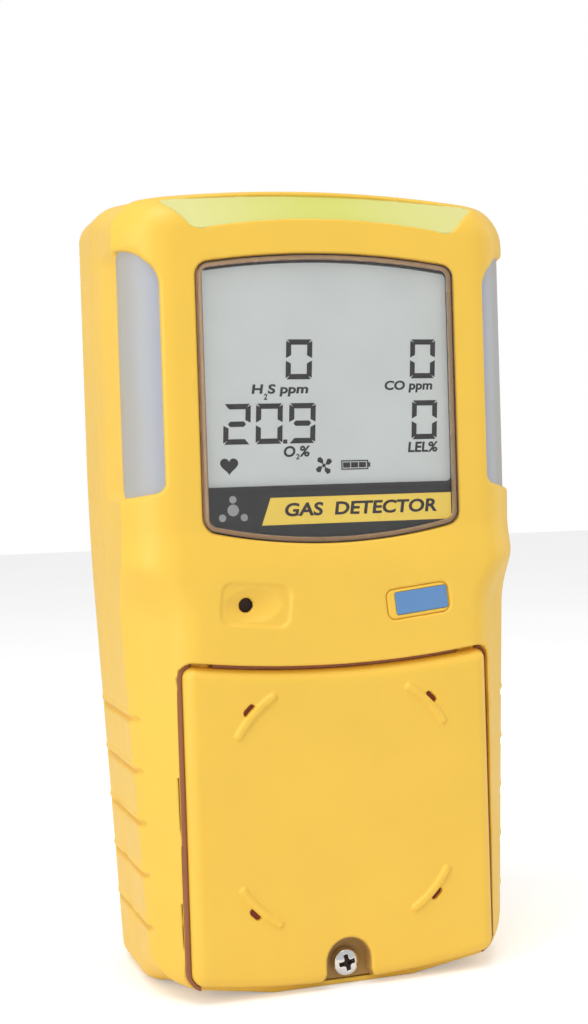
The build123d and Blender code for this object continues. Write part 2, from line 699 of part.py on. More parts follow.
NODES = {
    "front_shell": make_front_shell,
    "rear_shell": make_rear_shell,
    "case_gasket": make_case_gasket,
    "case_screws": make_case_screws,
    "display_window": make_display_window,
    "display_frame": make_display_frame,
    "nameplate": make_nameplate,
    "nameplate_stripe": make_stripe,
    "lcd_panel": make_lcd_panel,
    "backlight": make_backlight,
    "beacon_lens": make_beacon_lens,
    "alarm_lens_left": lambda: make_side_lens(-1),
    "alarm_lens_right": lambda: make_side_lens(1),
    "main_board": make_main_board,
    "alarm_lamps": make_alarm_lamps,
    "push_button": make_push_button,
    "button_inlay": make_button_inlay,
    "tact_switch": make_tact_switch,
    "sounder": make_sounder,
    "sounder_membrane": make_sounder_membrane,
    "sensor_cover": make_sensor_cover,
    "cover_screw": make_cover_screw,
    "screw_insert": make_screw_insert,
    "oxygen_sensor": lambda: make_sensor(-1, SENSOR_ROWS[1]),
    "combustible_sensor": lambda: make_sensor(1, SENSOR_ROWS[1]),
    "sulfide_sensor": lambda: make_sensor(-1, SENSOR_ROWS[0]),
    "monoxide_sensor": lambda: make_sensor(1, SENSOR_ROWS[0]),
    "sensor_gasket": make_sensor_gasket,
    "sensor_board": make_sensor_board,
    "pump_body": make_pump_body,
    "pump_motor": make_pump_motor,
    "pump_crank": make_pump_crank,
    "filter_housing": make_filter_housing,
    "filter_disc": make_filter_disc,
    "filter_seal": make_filter_seal,
    "inlet_tube": make_inlet_tube,
    "sample_tube": make_sample_tube,
    "battery_pack": make_battery_pack,
    "vibrator_motor": make_vibrator_motor,
    "vibrator_weight": make_vibrator_weight,
    "charge_contacts": make_charge_contacts,
    "data_window": make_data_window,
    "clip_base": make_clip_base,
    "clip_screws": make_clip_screws,
    "clip_pin": make_clip_pin,
    "clip_jaw": make_clip_jaw,
    "clip_spring": make_clip_spring,
}

os.makedirs("parts", exist_ok=True)
for name, make in NODES.items():
    export_step(make(), f"parts/{name}.step")
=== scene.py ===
"""Looks of the portable gas detector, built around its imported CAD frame."""

import itertools
import math

import bpy
import numpy as np
from mathutils import Matrix, Vector


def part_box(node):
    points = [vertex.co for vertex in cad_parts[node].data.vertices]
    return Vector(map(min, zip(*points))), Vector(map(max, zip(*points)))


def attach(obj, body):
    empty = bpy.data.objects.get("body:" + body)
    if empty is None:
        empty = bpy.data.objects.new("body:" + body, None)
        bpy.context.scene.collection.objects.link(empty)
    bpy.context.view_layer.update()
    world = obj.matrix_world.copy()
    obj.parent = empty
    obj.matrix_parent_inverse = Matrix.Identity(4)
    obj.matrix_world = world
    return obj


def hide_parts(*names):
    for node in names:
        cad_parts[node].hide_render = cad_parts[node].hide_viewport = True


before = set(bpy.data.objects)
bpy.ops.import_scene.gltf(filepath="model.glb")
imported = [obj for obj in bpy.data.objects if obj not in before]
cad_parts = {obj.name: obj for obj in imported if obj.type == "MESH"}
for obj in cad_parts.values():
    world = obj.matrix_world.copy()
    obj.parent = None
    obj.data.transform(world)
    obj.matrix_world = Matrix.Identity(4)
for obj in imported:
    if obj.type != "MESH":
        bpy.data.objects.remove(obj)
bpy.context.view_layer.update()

MM = 0.001

# ---------------------------------------------------------------- sizes, mm
# Case outline. A pair holds the value at the parting line and the one at the front.
HEIGHT = 130.96
HALF_BASE = 30.9
HALF_WIDEST = 34.6
WIDEST_Z = 76.0
HALF_TOP = 34.6
TOP_CORNER_Z = 127.4
FLAT_HALF = 12.0
BASE_CORNER_RISE = (0.4, 3.0)
TOP_CORNER_R = (3.5, 5.5)
BASE_CORNER_R = (2.5, 5.5)
CROWN_DROP = (2.0, 2.6)
CROWN_SHIFT = (2, 12)
CORNER_SHIFT = (1, 12)
FOOT_SHIFT = (2, 14)
LEAN_BLEND = 0.6
DRAFT = 0.045
RAIL_SLIM = 0.3

# Case depth, walls and the roundings between its faces
FRONT_Y = -20.0
RAIL_Y = -13.0
BACK_Y = 20.0
WALL = 2.2
SHELL_GAP = 0.12
SIDE_ROUND = 8.5
CROWN_ROUND = 6.5
RAIL_ROUND = 5.5
BACK_ROUND = 9.0
VALLEY_ROUND = 4.0
FOOT_ROUND = 3.0
RAIL_FADE = (64, 72)
BUMPER_FADE = (66, 76)
SHOULDER_Z = 69.5
SHOULDER_SWEEP = 9.0
PROUD_EDGE = 3.0

# Lower block, sensor cover and its screw
FLANK_X = 27.45
FLANK_Y = -18.2
FLANK_LEAN = 0.008
FLANK_SLOPE = (0.86, 0.5)
SEAM_Y = -17.0
COVER_HALF = 26.1
COVER_TOP_Z = 54.3
COVER_TOP_SAG = 1.9
COVER_BASE_Z = 3.2
COVER_BASE_SAG = 2.2
COVER_GAP = 0.7
COVER_BACK_Y = -17.15
COVER_EDGE_ROUND = 2.1
COVER_HOLLOW = (23.6, 12.0, -0.2, 50.4, -0.4, 2.0)
SENSOR_OPENING = (24.0, 10.8, -0.2, 51.4, -0.4, 2.0)
HOOK_X = 23.0
SCREW_Z = 3.9
SCREW_TURN = math.radians(12)
ARCH_R = 3.9
ARCH_Z = 4.5
SEAT_REACH = 1.4
SCREW_SEAT_Y = -17.0
BOSS_FRONT_Y = -15.0
BOSS_Z = 5.5
BOSS_R = 5.0

# Display opening, and the depth that every front opening reaches
OPENING_BACK_Y = -14.0
WINDOW_HALF = 22.0
WINDOW_TOP_Z = 117.8
WINDOW_TOP_SAG = 1.8
WINDOW_BASE_Z = 75.5
WINDOW_BASE_SAG = 2.7

# Key and sounder recess, tilted along one curved row
KEY_X, KEY_Z, KEY_W, KEY_H = 13.9, 62.7, 11.3, 5.3
KEY_SLOT_TRIM = 0.3
KEY_CAP_TRIM = 0.34
BAR_X, BAR_Z = KEY_X + 0.6, KEY_Z + 0.1
ROW_TILT = math.radians(5.9)
RECESS_X, RECESS_Z, RECESS_W, RECESS_H = -13.9, 63.4, 11.4, 6.6
RECESS_DEPTH = 0.4
SCOOP_DEPTH = 1.35
SOUND_HOLE_X = -15.3
SOUND_HOLE_R = 1.2

# Alarm lenses
BEACON_Y, BEACON_Z = -18.2, 125.7
BEACON_SLOPE = math.radians(56.7)
BEACON_HALF_FRONT, BEACON_HALF_BACK = 21.8, 26.4
BEACON_LOW, BEACON_LOW_SAG = -2.2, 1.7
BEACON_HIGH, BEACON_HIGH_SAG = 2.7, 1.9
BEACON_WELL = 4.5
SIDE_LENS_SINK = 1.0
SIDE_LENS_SKIN = 0.9
SIDE_LENS_RAMP = math.radians(44)
SIDE_LENS_RAMP_Z = 116.4
SIDE_LENS_INNER_X = 27.6
SIDE_LENS_BACK_Y = -12.0
SIDE_LENS_LOW_Z = 81.0
SIDE_LENS_HIGH_Z = 120.2
HOLLOW_DEPTH = 1.15

# Grip grooves on the side rails
GROOVE_COUNT = 5
GROOVE_TOP_Z = 45.4
GROOVE_PITCH = 8.5
GROOVE_HALF = 0.42
GROOVE_DEPTH = 0.75

# Ribs on the cover and the inlets beside them, as (side, height, up or down) per corner
RIB_X = 15.0
RIB_CORNERS = ((-1, 46.0, 1), (1, 46.0, 1), (-1, 14.6, -1), (1, 14.6, -1))
RIB_ARC_R = 17.0
RIB_HALF_WIDTH = 0.6
RIB_HALF_ANGLE = math.radians(14.0)
RIB_RISE = 0.45
INLET_OFFSET = 0.95
INLET_HALF_ANGLE = math.radians(1.9)
INLET_HALF_WIDTH = 0.56

# Back of the case
CASE_SCREWS = ((23.2, 12.0), (25.5, 121.6))
CASE_POST_R = 3.4
CASE_BORE_R = 1.45
CASE_WELL_R = 2.6
CASE_WELL_Y = 17.5
FILTER_Z = 36.0
THROAT_R = 6.0
CLIP_SCREWS = (72.0, 108.0)
CLIP_BORE_R = 1.05


# ------------------------------------------------- distance fields, mm, negative inside
def meet(a, b, r):
    """Both solids, with a convex edge of radius r."""
    u = np.maximum(a + r, 0)
    v = np.maximum(b + r, 0)
    return np.minimum(np.maximum(a, b), -r) + np.hypot(u, v)


def join(a, b, r):
    """Either solid, with a concave fillet of radius r."""
    u = np.maximum(r - a, 0)
    v = np.maximum(r - b, 0)
    return np.maximum(np.minimum(a, b), r) - np.hypot(u, v)


def cut(a, b, r):
    """The first solid without the second, its new rim rounded by r."""
    return meet(a, -b, r)


def between(v, low, high):
    """Distance outside a range."""
    return np.abs(v - (low + high) / 2) - (high - low) / 2


def soft_max(a, b, k):
    """The larger of two distances that cross at a shallow angle."""
    h = np.maximum(k - np.abs(a - b), 0) / k
    return np.maximum(a, b) + h * h * k / 4


def arc_edge(x, z, half, end_z, sag, side):
    """Distance past an edge that bows by sag; side is +1 for a top edge and -1 for a base."""
    if abs(sag) < 1e-6:
        return side * (z - end_z)
    radius = (half * half + sag * sag) / (2 * abs(sag))
    middle = end_z + sag
    toward = 1 if sag > 0 else -1
    centre = middle - toward * radius
    return side * toward * (np.hypot(x, z - centre) - radius)


def bowed(x, z, half, low_z, low_sag, high_z, high_sag, r):
    """Rectangle in the front view with bowed top and bottom edges."""
    top = arc_edge(x, z, half, high_z, high_sag, 1)
    base = arc_edge(x, z, half, low_z, low_sag, -1)
    sides = np.abs(x) - half
    return meet(meet(sides, top, r), base, r)


def tilted(x, z, x0, z0, width, height, tilt, r):
    """Rounded rectangle in the front view, turned by tilt."""
    c, s = math.cos(tilt), math.sin(tilt)
    u = np.abs((x - x0) * c + (z - z0) * s) - (width / 2 - r)
    v = np.abs(-(x - x0) * s + (z - z0) * c) - (height / 2 - r)
    return np.hypot(np.maximum(u, 0), np.maximum(v, 0)) + np.minimum(np.maximum(u, v), 0) - r


def side_distance(x, z, slim=0.0):
    """Distance past the leaning side walls of the case."""
    ax = np.abs(x)
    low_lean = (HALF_WIDEST - HALF_BASE) / WIDEST_Z
    high_lean = (HALF_WIDEST - HALF_TOP) / (TOP_CORNER_Z - WIDEST_Z)
    low = (ax - HALF_BASE - low_lean * z + slim) / math.hypot(1, low_lean)
    high = (ax - HALF_WIDEST + high_lean * (z - WIDEST_Z) + slim) / math.hypot(1, high_lean)
    return soft_max(low, high, LEAN_BLEND)


def smooth_step(value, low, high):
    """Eased ramp from 0 at low to 1 at high."""
    t = np.clip((value - low) / (high - low), 0, 1)
    return t * t * (3 - 2 * t)


def from_to(pair, share):
    """Blend between the value at the parting line and the one at the front."""
    return pair[0] + (pair[1] - pair[0]) * share


def crown_distance(x, y, z):
    """Distance past the arched top, which is flatter at the parting line than at the front."""
    drop = from_to(CROWN_DROP, smooth_step(-y, *CROWN_SHIFT))
    reach = x / HALF_TOP
    return (z - HEIGHT + drop * reach * reach) / np.hypot(1, 2 * drop * reach / HALF_TOP)


def outline_distance(x, y, z, side):
    """Distance past the case's outline, its corners rounder towards the front."""
    share = smooth_step(-y, *CORNER_SHIFT)
    topped = meet(side, crown_distance(x, y, z), from_to(TOP_CORNER_R, share))
    return meet(topped, foot_distance(x, y, z), from_to(BASE_CORNER_R, share))


def foot_distance(x, y, z):
    """Distance past the foot: a flat in the middle and a rise to each side, more at the front."""
    slope = from_to(BASE_CORNER_RISE, smooth_step(-y, *FOOT_SHIFT)) / (HALF_BASE - FLAT_HALF)
    rise = (slope * (np.abs(x) - FLAT_HALF) - z) / np.hypot(1, slope)
    return np.maximum(-z, rise)


def front_body(x, y, z):
    """Outside of the front casing: slim rails, and a proud face with a swept shoulder.

    The face's sides lean in towards the front, but only above the grip.
    """
    side = side_distance(x, z)
    foot = foot_distance(x, y, z)
    slim = 1 - smooth_step(z, *RAIL_FADE)
    rails = outline_distance(x, y, z, side_distance(x, z, RAIL_SLIM * slim))
    rails = meet(rails, RAIL_Y - y, RAIL_ROUND)
    aside = np.abs(x) - FLANK_X + FLANK_LEAN * (50 - z)
    flank = aside * FLANK_SLOPE[0] - (y - FLANK_Y) * FLANK_SLOPE[1]
    proud_plan = join(SHOULDER_Z - z, flank, SHOULDER_SWEEP)
    above_grip = smooth_step(z, *BUMPER_FADE)
    upright = side + DRAFT * np.maximum(-y, 0) * above_grip
    face = meet(upright, FRONT_Y - y, SIDE_ROUND)
    face = meet(face, crown_distance(x, y, z), CROWN_ROUND)
    proud = meet(face, proud_plan, PROUD_EDGE)
    proud = meet(proud, foot, FOOT_ROUND)
    body = np.maximum(join(rails, proud, VALLEY_ROUND), outline_distance(x, y, z, side))
    return body + np.maximum(upright - side, 0) * above_grip


def lens_hollow(x, y, z):
    """How far the casing dips round the corner lenses, behind and beside them."""
    height = smooth_step(z, SIDE_LENS_LOW_Z - 0.8, SIDE_LENS_LOW_Z + 1.4)
    height = height * smooth_step(-z, -SIDE_LENS_HIGH_Z - 0.6, -SIDE_LENS_HIGH_Z + 1.6)
    return HOLLOW_DEPTH * height * smooth_step(-y, 3, 12) * smooth_step(np.abs(x), 29.5, 32.5)


def rear_body(x, y, z):
    """Outside of the rear casing, rounded off towards the back."""
    slim = (1 - smooth_step(z, *RAIL_FADE)) * smooth_step(-y, -6, 0)
    outline = outline_distance(x, y, z, side_distance(x, z))
    return meet(outline + RAIL_SLIM * slim * 0.8, y - BACK_Y, BACK_ROUND)


def grooves(x, y, z, y_front, y_back):
    """How far five soft channels sink the side rails."""
    sink = 0.0
    for row in range(GROOVE_COUNT):
        dz = z - (GROOVE_TOP_Z - row * GROOVE_PITCH)
        sink = sink + np.exp(-(dz / GROOVE_HALF) ** 2) - 0.35 * np.exp(-((dz - 0.9) / 0.5) ** 2)
    along = smooth_step(y, y_front, y_front + 1.2) * smooth_step(-y, -y_back, -y_back + 1.5)
    return GROOVE_DEPTH * sink * along * smooth_step(np.abs(x), 26.5, 28.5)


def beacon_axes(y, z):
    """Up the slope of the beacon lens, and out of its face."""
    up = (y - BEACON_Y) * math.cos(BEACON_SLOPE) + (z - BEACON_Z) * math.sin(BEACON_SLOPE)
    out = -(y - BEACON_Y) * math.sin(BEACON_SLOPE) + (z - BEACON_Z) * math.cos(BEACON_SLOPE)
    return up, out


def beacon_plan(x, y, z, grow):
    """Outline of the beacon lens in its own slanted plane."""
    up, _ = beacon_axes(y, z)
    low = arc_edge(x, up, BEACON_HALF_FRONT, BEACON_LOW, BEACON_LOW_SAG, -1)
    high = arc_edge(x, up, BEACON_HALF_BACK, BEACON_HIGH, BEACON_HIGH_SAG, 1)
    lean = (BEACON_HALF_BACK - BEACON_HALF_FRONT) / (BEACON_HIGH - BEACON_LOW)
    ends = (np.abs(x) - (BEACON_HALF_FRONT + BEACON_HALF_BACK) / 2 - lean * up) / math.hypot(1, lean)
    return meet(meet(ends, low, 0.8), high, 0.8) - grow


def side_lens_plan(x, y, z, grow):
    """Outline of the two corner lenses, as seen on the side and the front."""
    top = z - SIDE_LENS_HIGH_Z
    rise, run = math.sin(SIDE_LENS_RAMP), math.cos(SIDE_LENS_RAMP)
    ramp = (z - SIDE_LENS_RAMP_Z) * run - (np.abs(x) - SIDE_LENS_INNER_X) * rise
    tilt = 0.16
    base = (SIDE_LENS_LOW_Z - z) * math.cos(tilt) + (33.0 - np.abs(x)) * math.sin(tilt)
    high = meet(top, ramp, 1.2)
    inner = SIDE_LENS_INNER_X - np.abs(x)
    back = y - SIDE_LENS_BACK_Y
    return meet(meet(meet(high, base, 1.0), inner, 1.4), back, 0.9) - grow


def cover_plan(x, z, grow=0.0):
    """Outline of the sensor cover in the front view."""
    return bowed(x, z, COVER_HALF, COVER_BASE_Z, -COVER_BASE_SAG, COVER_TOP_Z,
                 -COVER_TOP_SAG, 2.0) - grow


def arch_plan(x, z, grow=0.0):
    """Outline of the screw's arch, a round head over a flared mouth."""
    radius = ARCH_R + grow
    flare = 0.35 * np.maximum(2.6 - z, 0)
    shaft = np.maximum(np.abs(x) - radius - flare, z - ARCH_Z)
    return np.minimum(np.hypot(x, z - ARCH_Z) - radius, shaft)


def window_plan(x, z, shrink=0.0):
    """Outline of the display opening in the front view."""
    return bowed(x, z, WINDOW_HALF, WINDOW_BASE_Z, -WINDOW_BASE_SAG, WINDOW_TOP_Z,
                 WINDOW_TOP_SAG, 2.0) + shrink


def front_shell_field(x, y, z):
    """Front casing: a wall of even thickness with all its openings."""
    outer = front_body(x, y, z)
    inner = outer + WALL
    outer = outer + grooves(x, y, z, -12.6, 9) + lens_hollow(x, y, z)
    lip_edge = arc_edge(x, z, COVER_HALF, COVER_TOP_Z + COVER_GAP, -COVER_TOP_SAG, 1)
    below = np.maximum(np.abs(x) - COVER_HALF - COVER_GAP, z - 30)
    seat = np.maximum(np.minimum(cover_plan(x, z, COVER_GAP), below), y - SEAM_Y)
    shell = cut(outer, seat, 0.3)
    behind_seat = SEAM_Y + WALL - y
    inner = np.where(lip_edge < WALL, np.maximum(inner, behind_seat), inner)
    shell = np.maximum(shell, -inner)
    boss = np.maximum(np.hypot(x, z - BOSS_Z) - BOSS_R, between(y, BOSS_FRONT_Y, -9.0))
    shell = join(shell, np.maximum(boss, outer), 0.4)
    beacon = beacon_plan(x, y, z, 0.2)
    _, out = beacon_axes(y, z)
    shell = cut(shell, np.maximum(beacon, -(out + BEACON_WELL)), 0.5)
    shell = cut(shell, np.maximum(side_lens_plan(x, y, z, 0.0), y - 5), 0.45)
    shell = cut(shell, np.maximum(window_plan(x, z), y - OPENING_BACK_Y), 0.35)
    slot = tilted(x, z, KEY_X, KEY_Z, KEY_W - KEY_SLOT_TRIM, KEY_H - KEY_SLOT_TRIM, ROW_TILT, 1.3)
    shell = cut(shell, np.maximum(slot, y - OPENING_BACK_Y), 0.45)
    recess = tilted(x, z, RECESS_X, RECESS_Z, RECESS_W, RECESS_H, -ROW_TILT, 1.7)
    near = np.hypot((x - SOUND_HOLE_X - 0.9) / 4.6, (z - RECESS_Z + 0.1) / 2.7)
    floor = FRONT_Y + RECESS_DEPTH + SCOOP_DEPTH * np.clip(1 - near, 0, 1) ** 0.8
    shell = cut(shell, meet(recess, y - floor, 0.35), 0.45)
    sound_hole = np.hypot(x - SOUND_HOLE_X, z - RECESS_Z) - SOUND_HOLE_R
    shell = cut(shell, np.maximum(sound_hole, y + 15), 0.2)
    shell = cut(shell, np.maximum(bowed(x, z, *SENSOR_OPENING), y + 12), 0.3)
    hook = np.maximum(np.abs(np.abs(x) - HOOK_X) - 2.2, between(z, 50.0, 58.5))
    shell = np.maximum(shell, -np.maximum(hook, between(y, -16.8, -13.0)))
    seat_room = np.maximum(arch_plan(x, z, SEAT_REACH + 0.4), y - BOSS_FRONT_Y)
    shell = np.maximum(shell, -np.maximum(seat_room, 0.85 - z))
    insert_bore = np.hypot(x, z - SCREW_Z) - 2.75
    shell = np.maximum(shell, -np.maximum(insert_bore, y + 11.4))
    return meet(shell, y + SHELL_GAP / 2, 0.3)


def rear_shell_field(x, y, z):
    """Rear casing with its screw wells, filter throat and windows."""
    outer = rear_body(x, y, z)
    inner = outer + WALL
    outer = outer + grooves(x, y, z, -9, 13)
    shell = np.maximum(outer, -inner)
    for screw_x, screw_z in CASE_SCREWS:
        radial = np.hypot(np.abs(x) - screw_x, z - screw_z)
        post = np.maximum(radial - CASE_POST_R, y - 18.5)
        shell = join(shell, np.maximum(post, outer), 0.5)
        shell = np.maximum(shell, CASE_BORE_R - radial)
        shell = cut(shell, np.maximum(radial - CASE_WELL_R, CASE_WELL_Y - y), 0.3)
    throat = np.hypot(x, z - FILTER_Z) - THROAT_R
    shell = np.maximum(shell, -np.maximum(throat, 14 - y))
    contacts = np.maximum(np.maximum(np.abs(x) - 6.2, between(z, 6.0, 12.0)), 10 - y)
    shell = cut(shell, contacts, 0.3)
    window = np.maximum(np.maximum(np.abs(x) - 5.2, between(z, 117.8, 122.2)), 10 - y)
    shell = cut(shell, window, 0.3)
    for screw_z in CLIP_SCREWS:
        bore = np.hypot(x, z - screw_z) - CLIP_BORE_R
        shell = np.maximum(shell, -np.maximum(bore, 15 - y))
    return meet(shell, SHELL_GAP / 2 - y, 0.3)


def arc_bar(x, z, corner, radius, half_angle, half_width):
    """Front-view distance to a curved bar round one corner of the cover, its ends rounded."""
    side, row_z, up = corner
    reach = RIB_ARC_R * math.sin(math.radians(45))
    u = side * x - (RIB_X - reach)
    v = up * (z - row_z) + reach
    around = np.arctan2(v, u) - math.radians(45)
    clamped = np.clip(around, -half_angle, half_angle) + math.radians(45)
    return np.hypot(u - radius * np.cos(clamped), v - radius * np.sin(clamped)) - half_width


def rib_distance(x, z, corner):
    """Front-view distance to one rib."""
    return arc_bar(x, z, corner, RIB_ARC_R, RIB_HALF_ANGLE, RIB_HALF_WIDTH)


def inlet_distance(x, z, corner):
    """Front-view distance to the gas inlet that lies along one rib's outer edge."""
    slot = arc_bar(x, z, corner, RIB_ARC_R + INLET_OFFSET, INLET_HALF_ANGLE, INLET_HALF_WIDTH)
    return np.maximum(slot, 0.05 - rib_distance(x, z, corner))


def cover_field(x, y, z):
    """Sensor cover: crowned plate, ribs, inlets, screw arch and seat, hooks."""
    plan = cover_plan(x, z)
    plate = meet(meet(plan, FRONT_Y - y, COVER_EDGE_ROUND), y - COVER_BACK_Y, 0.2)
    for corner in RIB_CORNERS:
        rib = rib_distance(x, z, corner)
        raised = meet(rib, np.maximum(FRONT_Y - RIB_RISE - y, y + 19.0), 0.35)
        plate = join(plate, raised, 0.3)
        plate = cut(plate, inlet_distance(x, z, corner), 0.15)
    plate = np.maximum(plate, -np.maximum(bowed(x, z, *COVER_HOLLOW), -18.4 - y))
    plate = cut(plate, arch_plan(x, z), 0.5)
    plate = np.maximum(plate, -(np.hypot(x, z - SCREW_Z) - 1.5))
    hook = np.maximum(np.abs(np.abs(x) - HOOK_X) - 1.5, between(z, 51.6, 56.4))
    return np.minimum(plate, np.maximum(hook, between(y, -17.4, -16.2)))


def screens_field(x, y, z):
    """Fine screens at the bottom of the four inlets."""
    slots = [inlet_distance(x, z, corner) - 0.12 for corner in RIB_CORNERS]
    return np.maximum(np.minimum.reduce(slots), between(y, -19.25, -18.65))


def seam_field(x, y, z):
    """Brown strip in the gap round the cover, open at the hooks and the base; its brown is painted
    shade for the shadow in the gap.

    It lies deeper on the right, where the cover's edge hides it.
    """
    plan = cover_plan(x, z)
    front = 0.95 * smooth_step(x, 20, 26) - 18.3
    strip = np.maximum(np.maximum(plan - 0.76, 0.06 - plan), np.maximum(front - y, y - SEAM_Y))
    strip = np.maximum(strip, np.minimum(4 - z, 24.6 - np.abs(x)))
    strip = np.maximum(strip, foot_distance(x, y, z) + 0.15)
    tab = np.maximum(np.abs(np.abs(x) - HOOK_X) - 1.9, 50 - z)
    return np.maximum(strip, -tab)


def pocket_field(x, y, z):
    """Lining of the screw's arch, in painted shade: a thin wall, and the seat under the screw's
    head.
    """
    arch = arch_plan(x, z)
    base = arc_edge(x, z, COVER_HALF, COVER_BASE_Z, -COVER_BASE_SAG, -1) + 0.1
    wall = np.maximum(between(arch, -0.22, 0.05), between(y, -19.4, -16.6))
    wall = np.maximum(wall, meet(cover_plan(x, z), FRONT_Y - y, COVER_EDGE_ROUND) + 0.2)
    seat = np.maximum(np.maximum(arch - SEAT_REACH, base), between(y, SCREW_SEAT_Y, -15.2))
    lining = np.minimum(np.maximum(wall, base), seat)
    return np.maximum(lining, 1.5 - np.hypot(x, z - SCREW_Z))


def screw_field(x, y, z):
    """Pan-head screw with a deep cross recess, turned a little."""
    u, v = x, z - SCREW_Z
    a = u * math.cos(SCREW_TURN) + v * math.sin(SCREW_TURN)
    b = -u * math.sin(SCREW_TURN) + v * math.cos(SCREW_TURN)
    radial = np.hypot(u, v)
    head_y = SCREW_SEAT_Y - 0.1
    dome = np.hypot(radial / 1.6, y - head_y) - 1.75
    head = meet(np.maximum(dome, y - head_y), radial - 2.35, 0.3)
    depth = np.clip((y - head_y + 1.75) / 1.4, 0, 1)
    wing = np.minimum(np.maximum(np.abs(a) - 0.36, np.abs(b) - 1.5 + 0.5 * depth),
                      np.maximum(np.abs(b) - 0.36, np.abs(a) - 1.5 + 0.5 * depth))
    recess = np.maximum(join(wing, np.hypot(a, b) - 0.6, 0.25), y - head_y + 0.35)
    head = cut(head, recess, 0.06)
    shank = np.maximum(radial - 1.4, np.maximum(head_y - 0.1 - y, y + 12.6))
    return np.minimum(head, shank)


def key_field(x, y, z):
    """Key cap with a shallow seat for its inlay, a flange and a post."""
    cap = tilted(x, z, KEY_X, KEY_Z, KEY_W - KEY_CAP_TRIM, KEY_H - KEY_CAP_TRIM, ROW_TILT, 1.28)
    key = meet(cap, np.maximum(FRONT_Y + 0.1 - y, y + 15.5), 0.4)
    flange = tilted(x, z, KEY_X, KEY_Z, KEY_W + 1.2, KEY_H + 1.2, ROW_TILT, 1.6)
    key = np.minimum(key, np.maximum(flange, between(y, -17.4, -16.4)))
    post = np.hypot(x - KEY_X, z - KEY_Z) - 1.5
    key = np.minimum(key, np.maximum(post, between(y, -15.8, -14.4)))
    seat = tilted(x, z, BAR_X, BAR_Z, 9.3, 3.8, ROW_TILT, 0.4)
    return cut(key, np.maximum(seat, y - FRONT_Y - 0.6), 0.08)


def inlay_field(x, y, z):
    """Blue bar with softened edges."""
    bar = tilted(x, z, BAR_X, BAR_Z, 9.2, 3.7, ROW_TILT, 0.35)
    return meet(bar, np.maximum(FRONT_Y + 0.03 - y, y - FRONT_Y - 0.58), 0.15)


def beacon_field(x, y, z):
    """Beacon lens: glossy strip with a softened rim, hollow behind."""
    _, out = beacon_axes(y, z)
    lens = np.maximum(beacon_plan(x, y, z, 0.5), between(out, -2.1, -0.5))
    hollow = np.maximum(beacon_plan(x, y, z, -1.2), out + 1.35)
    return np.maximum(lens, -hollow)


def side_lens_field(side):
    """Corner lens that follows the casing's skin a little below it."""
    def field(x, y, z):
        skin = between(front_body(x, y, z) + SIDE_LENS_SINK, -SIDE_LENS_SKIN, 0)
        return np.maximum(np.maximum(skin, side_lens_plan(x, y, z, 0.35)), -side * x)
    return field


# ------------------------------------------------------------- meshes from fields
def gradient(field, points, reach):
    """Central differences of a field at scattered points."""
    slopes = []
    for axis in range(3):
        step = np.zeros(3)
        step[axis] = reach
        ahead = field(*(points + step).T)
        behind = field(*(points - step).T)
        slopes.append((ahead - behind) / (2 * reach))
    return np.stack(slopes, 1)


def settle(field, points, home, reach, rounds=4):
    """Move points onto the surface, no further than reach from home."""
    for _ in range(rounds):
        slope = gradient(field, points, reach * 0.25)
        length = np.maximum((slope * slope).sum(1), 0.05)
        points = points - slope * (field(*points.T) / length)[:, None]
        points = home + np.clip(points - home, -reach, reach)
    return points


def surface_net(field, low, high, step):
    """Quads around every grid edge that crosses the surface."""
    axes = [np.arange(a, b + step, step) for a, b in zip(low, high)]
    grid = np.meshgrid(*axes, indexing="ij", sparse=True)
    inside = field(*grid) < 0
    shape = inside.shape
    count = np.zeros([n - 1 for n in shape], np.int8)
    for i, j, k in itertools.product((0, 1), repeat=3):
        count += inside[i:shape[0] - 1 + i, j:shape[1] - 1 + j, k:shape[2] - 1 + k]
    active = (count > 0) & (count < 8)
    index = np.full(active.shape, -1, np.int64)
    index[active] = np.arange(active.sum())
    home = np.array([a[0] for a in axes]) + (np.argwhere(active) + 0.5) * step
    points = settle(field, home.copy(), home, step * 0.75)
    quads = []
    for axis in range(3):
        near = np.moveaxis(inside, axis, 0)
        cells = np.moveaxis(index, axis, 0)
        change = near[:-1, 1:-1, 1:-1] != near[1:, 1:-1, 1:-1]
        leaves = near[:-1, 1:-1, 1:-1][change]
        around = [cells[:, :-1, :-1][change], cells[:, 1:, :-1][change],
                  cells[:, 1:, 1:][change], cells[:, :-1, 1:][change]]
        ring = np.stack(around, 1)
        turn = leaves if axis != 1 else ~leaves
        ring[~turn] = ring[~turn][:, ::-1]
        quads.append(ring)
    quads = np.concatenate(quads)
    return points, quads[(quads >= 0).all(1)]


def mesh_object(name, points, faces):
    """A Blender object from points in millimetres and faces of equal size."""
    mesh = bpy.data.meshes.new(name)
    size = faces.shape[1]
    mesh.vertices.add(len(points))
    mesh.vertices.foreach_set("co", (points * MM).astype(np.float32).ravel())
    mesh.loops.add(faces.size)
    mesh.loops.foreach_set("vertex_index", faces.astype(np.int32).ravel())
    mesh.polygons.add(len(faces))
    mesh.polygons.foreach_set("loop_start", np.arange(0, faces.size, size, dtype=np.int32))
    mesh.update(calc_edges=True)
    mesh.validate()
    piece = bpy.data.objects.new(name, mesh)
    bpy.context.scene.collection.objects.link(piece)
    return piece


def applied(piece, kind, **settings):
    """Add a modifier and bake it into the mesh."""
    modifier = piece.modifiers.new(kind.lower(), kind)
    for key, value in settings.items():
        setattr(modifier, key, value)
    depsgraph = bpy.context.evaluated_depsgraph_get()
    mesh = bpy.data.meshes.new_from_object(piece.evaluated_get(depsgraph))
    piece.modifiers.clear()
    old, piece.data = piece.data, mesh
    bpy.data.meshes.remove(old)
    mesh.name = piece.name
    return piece


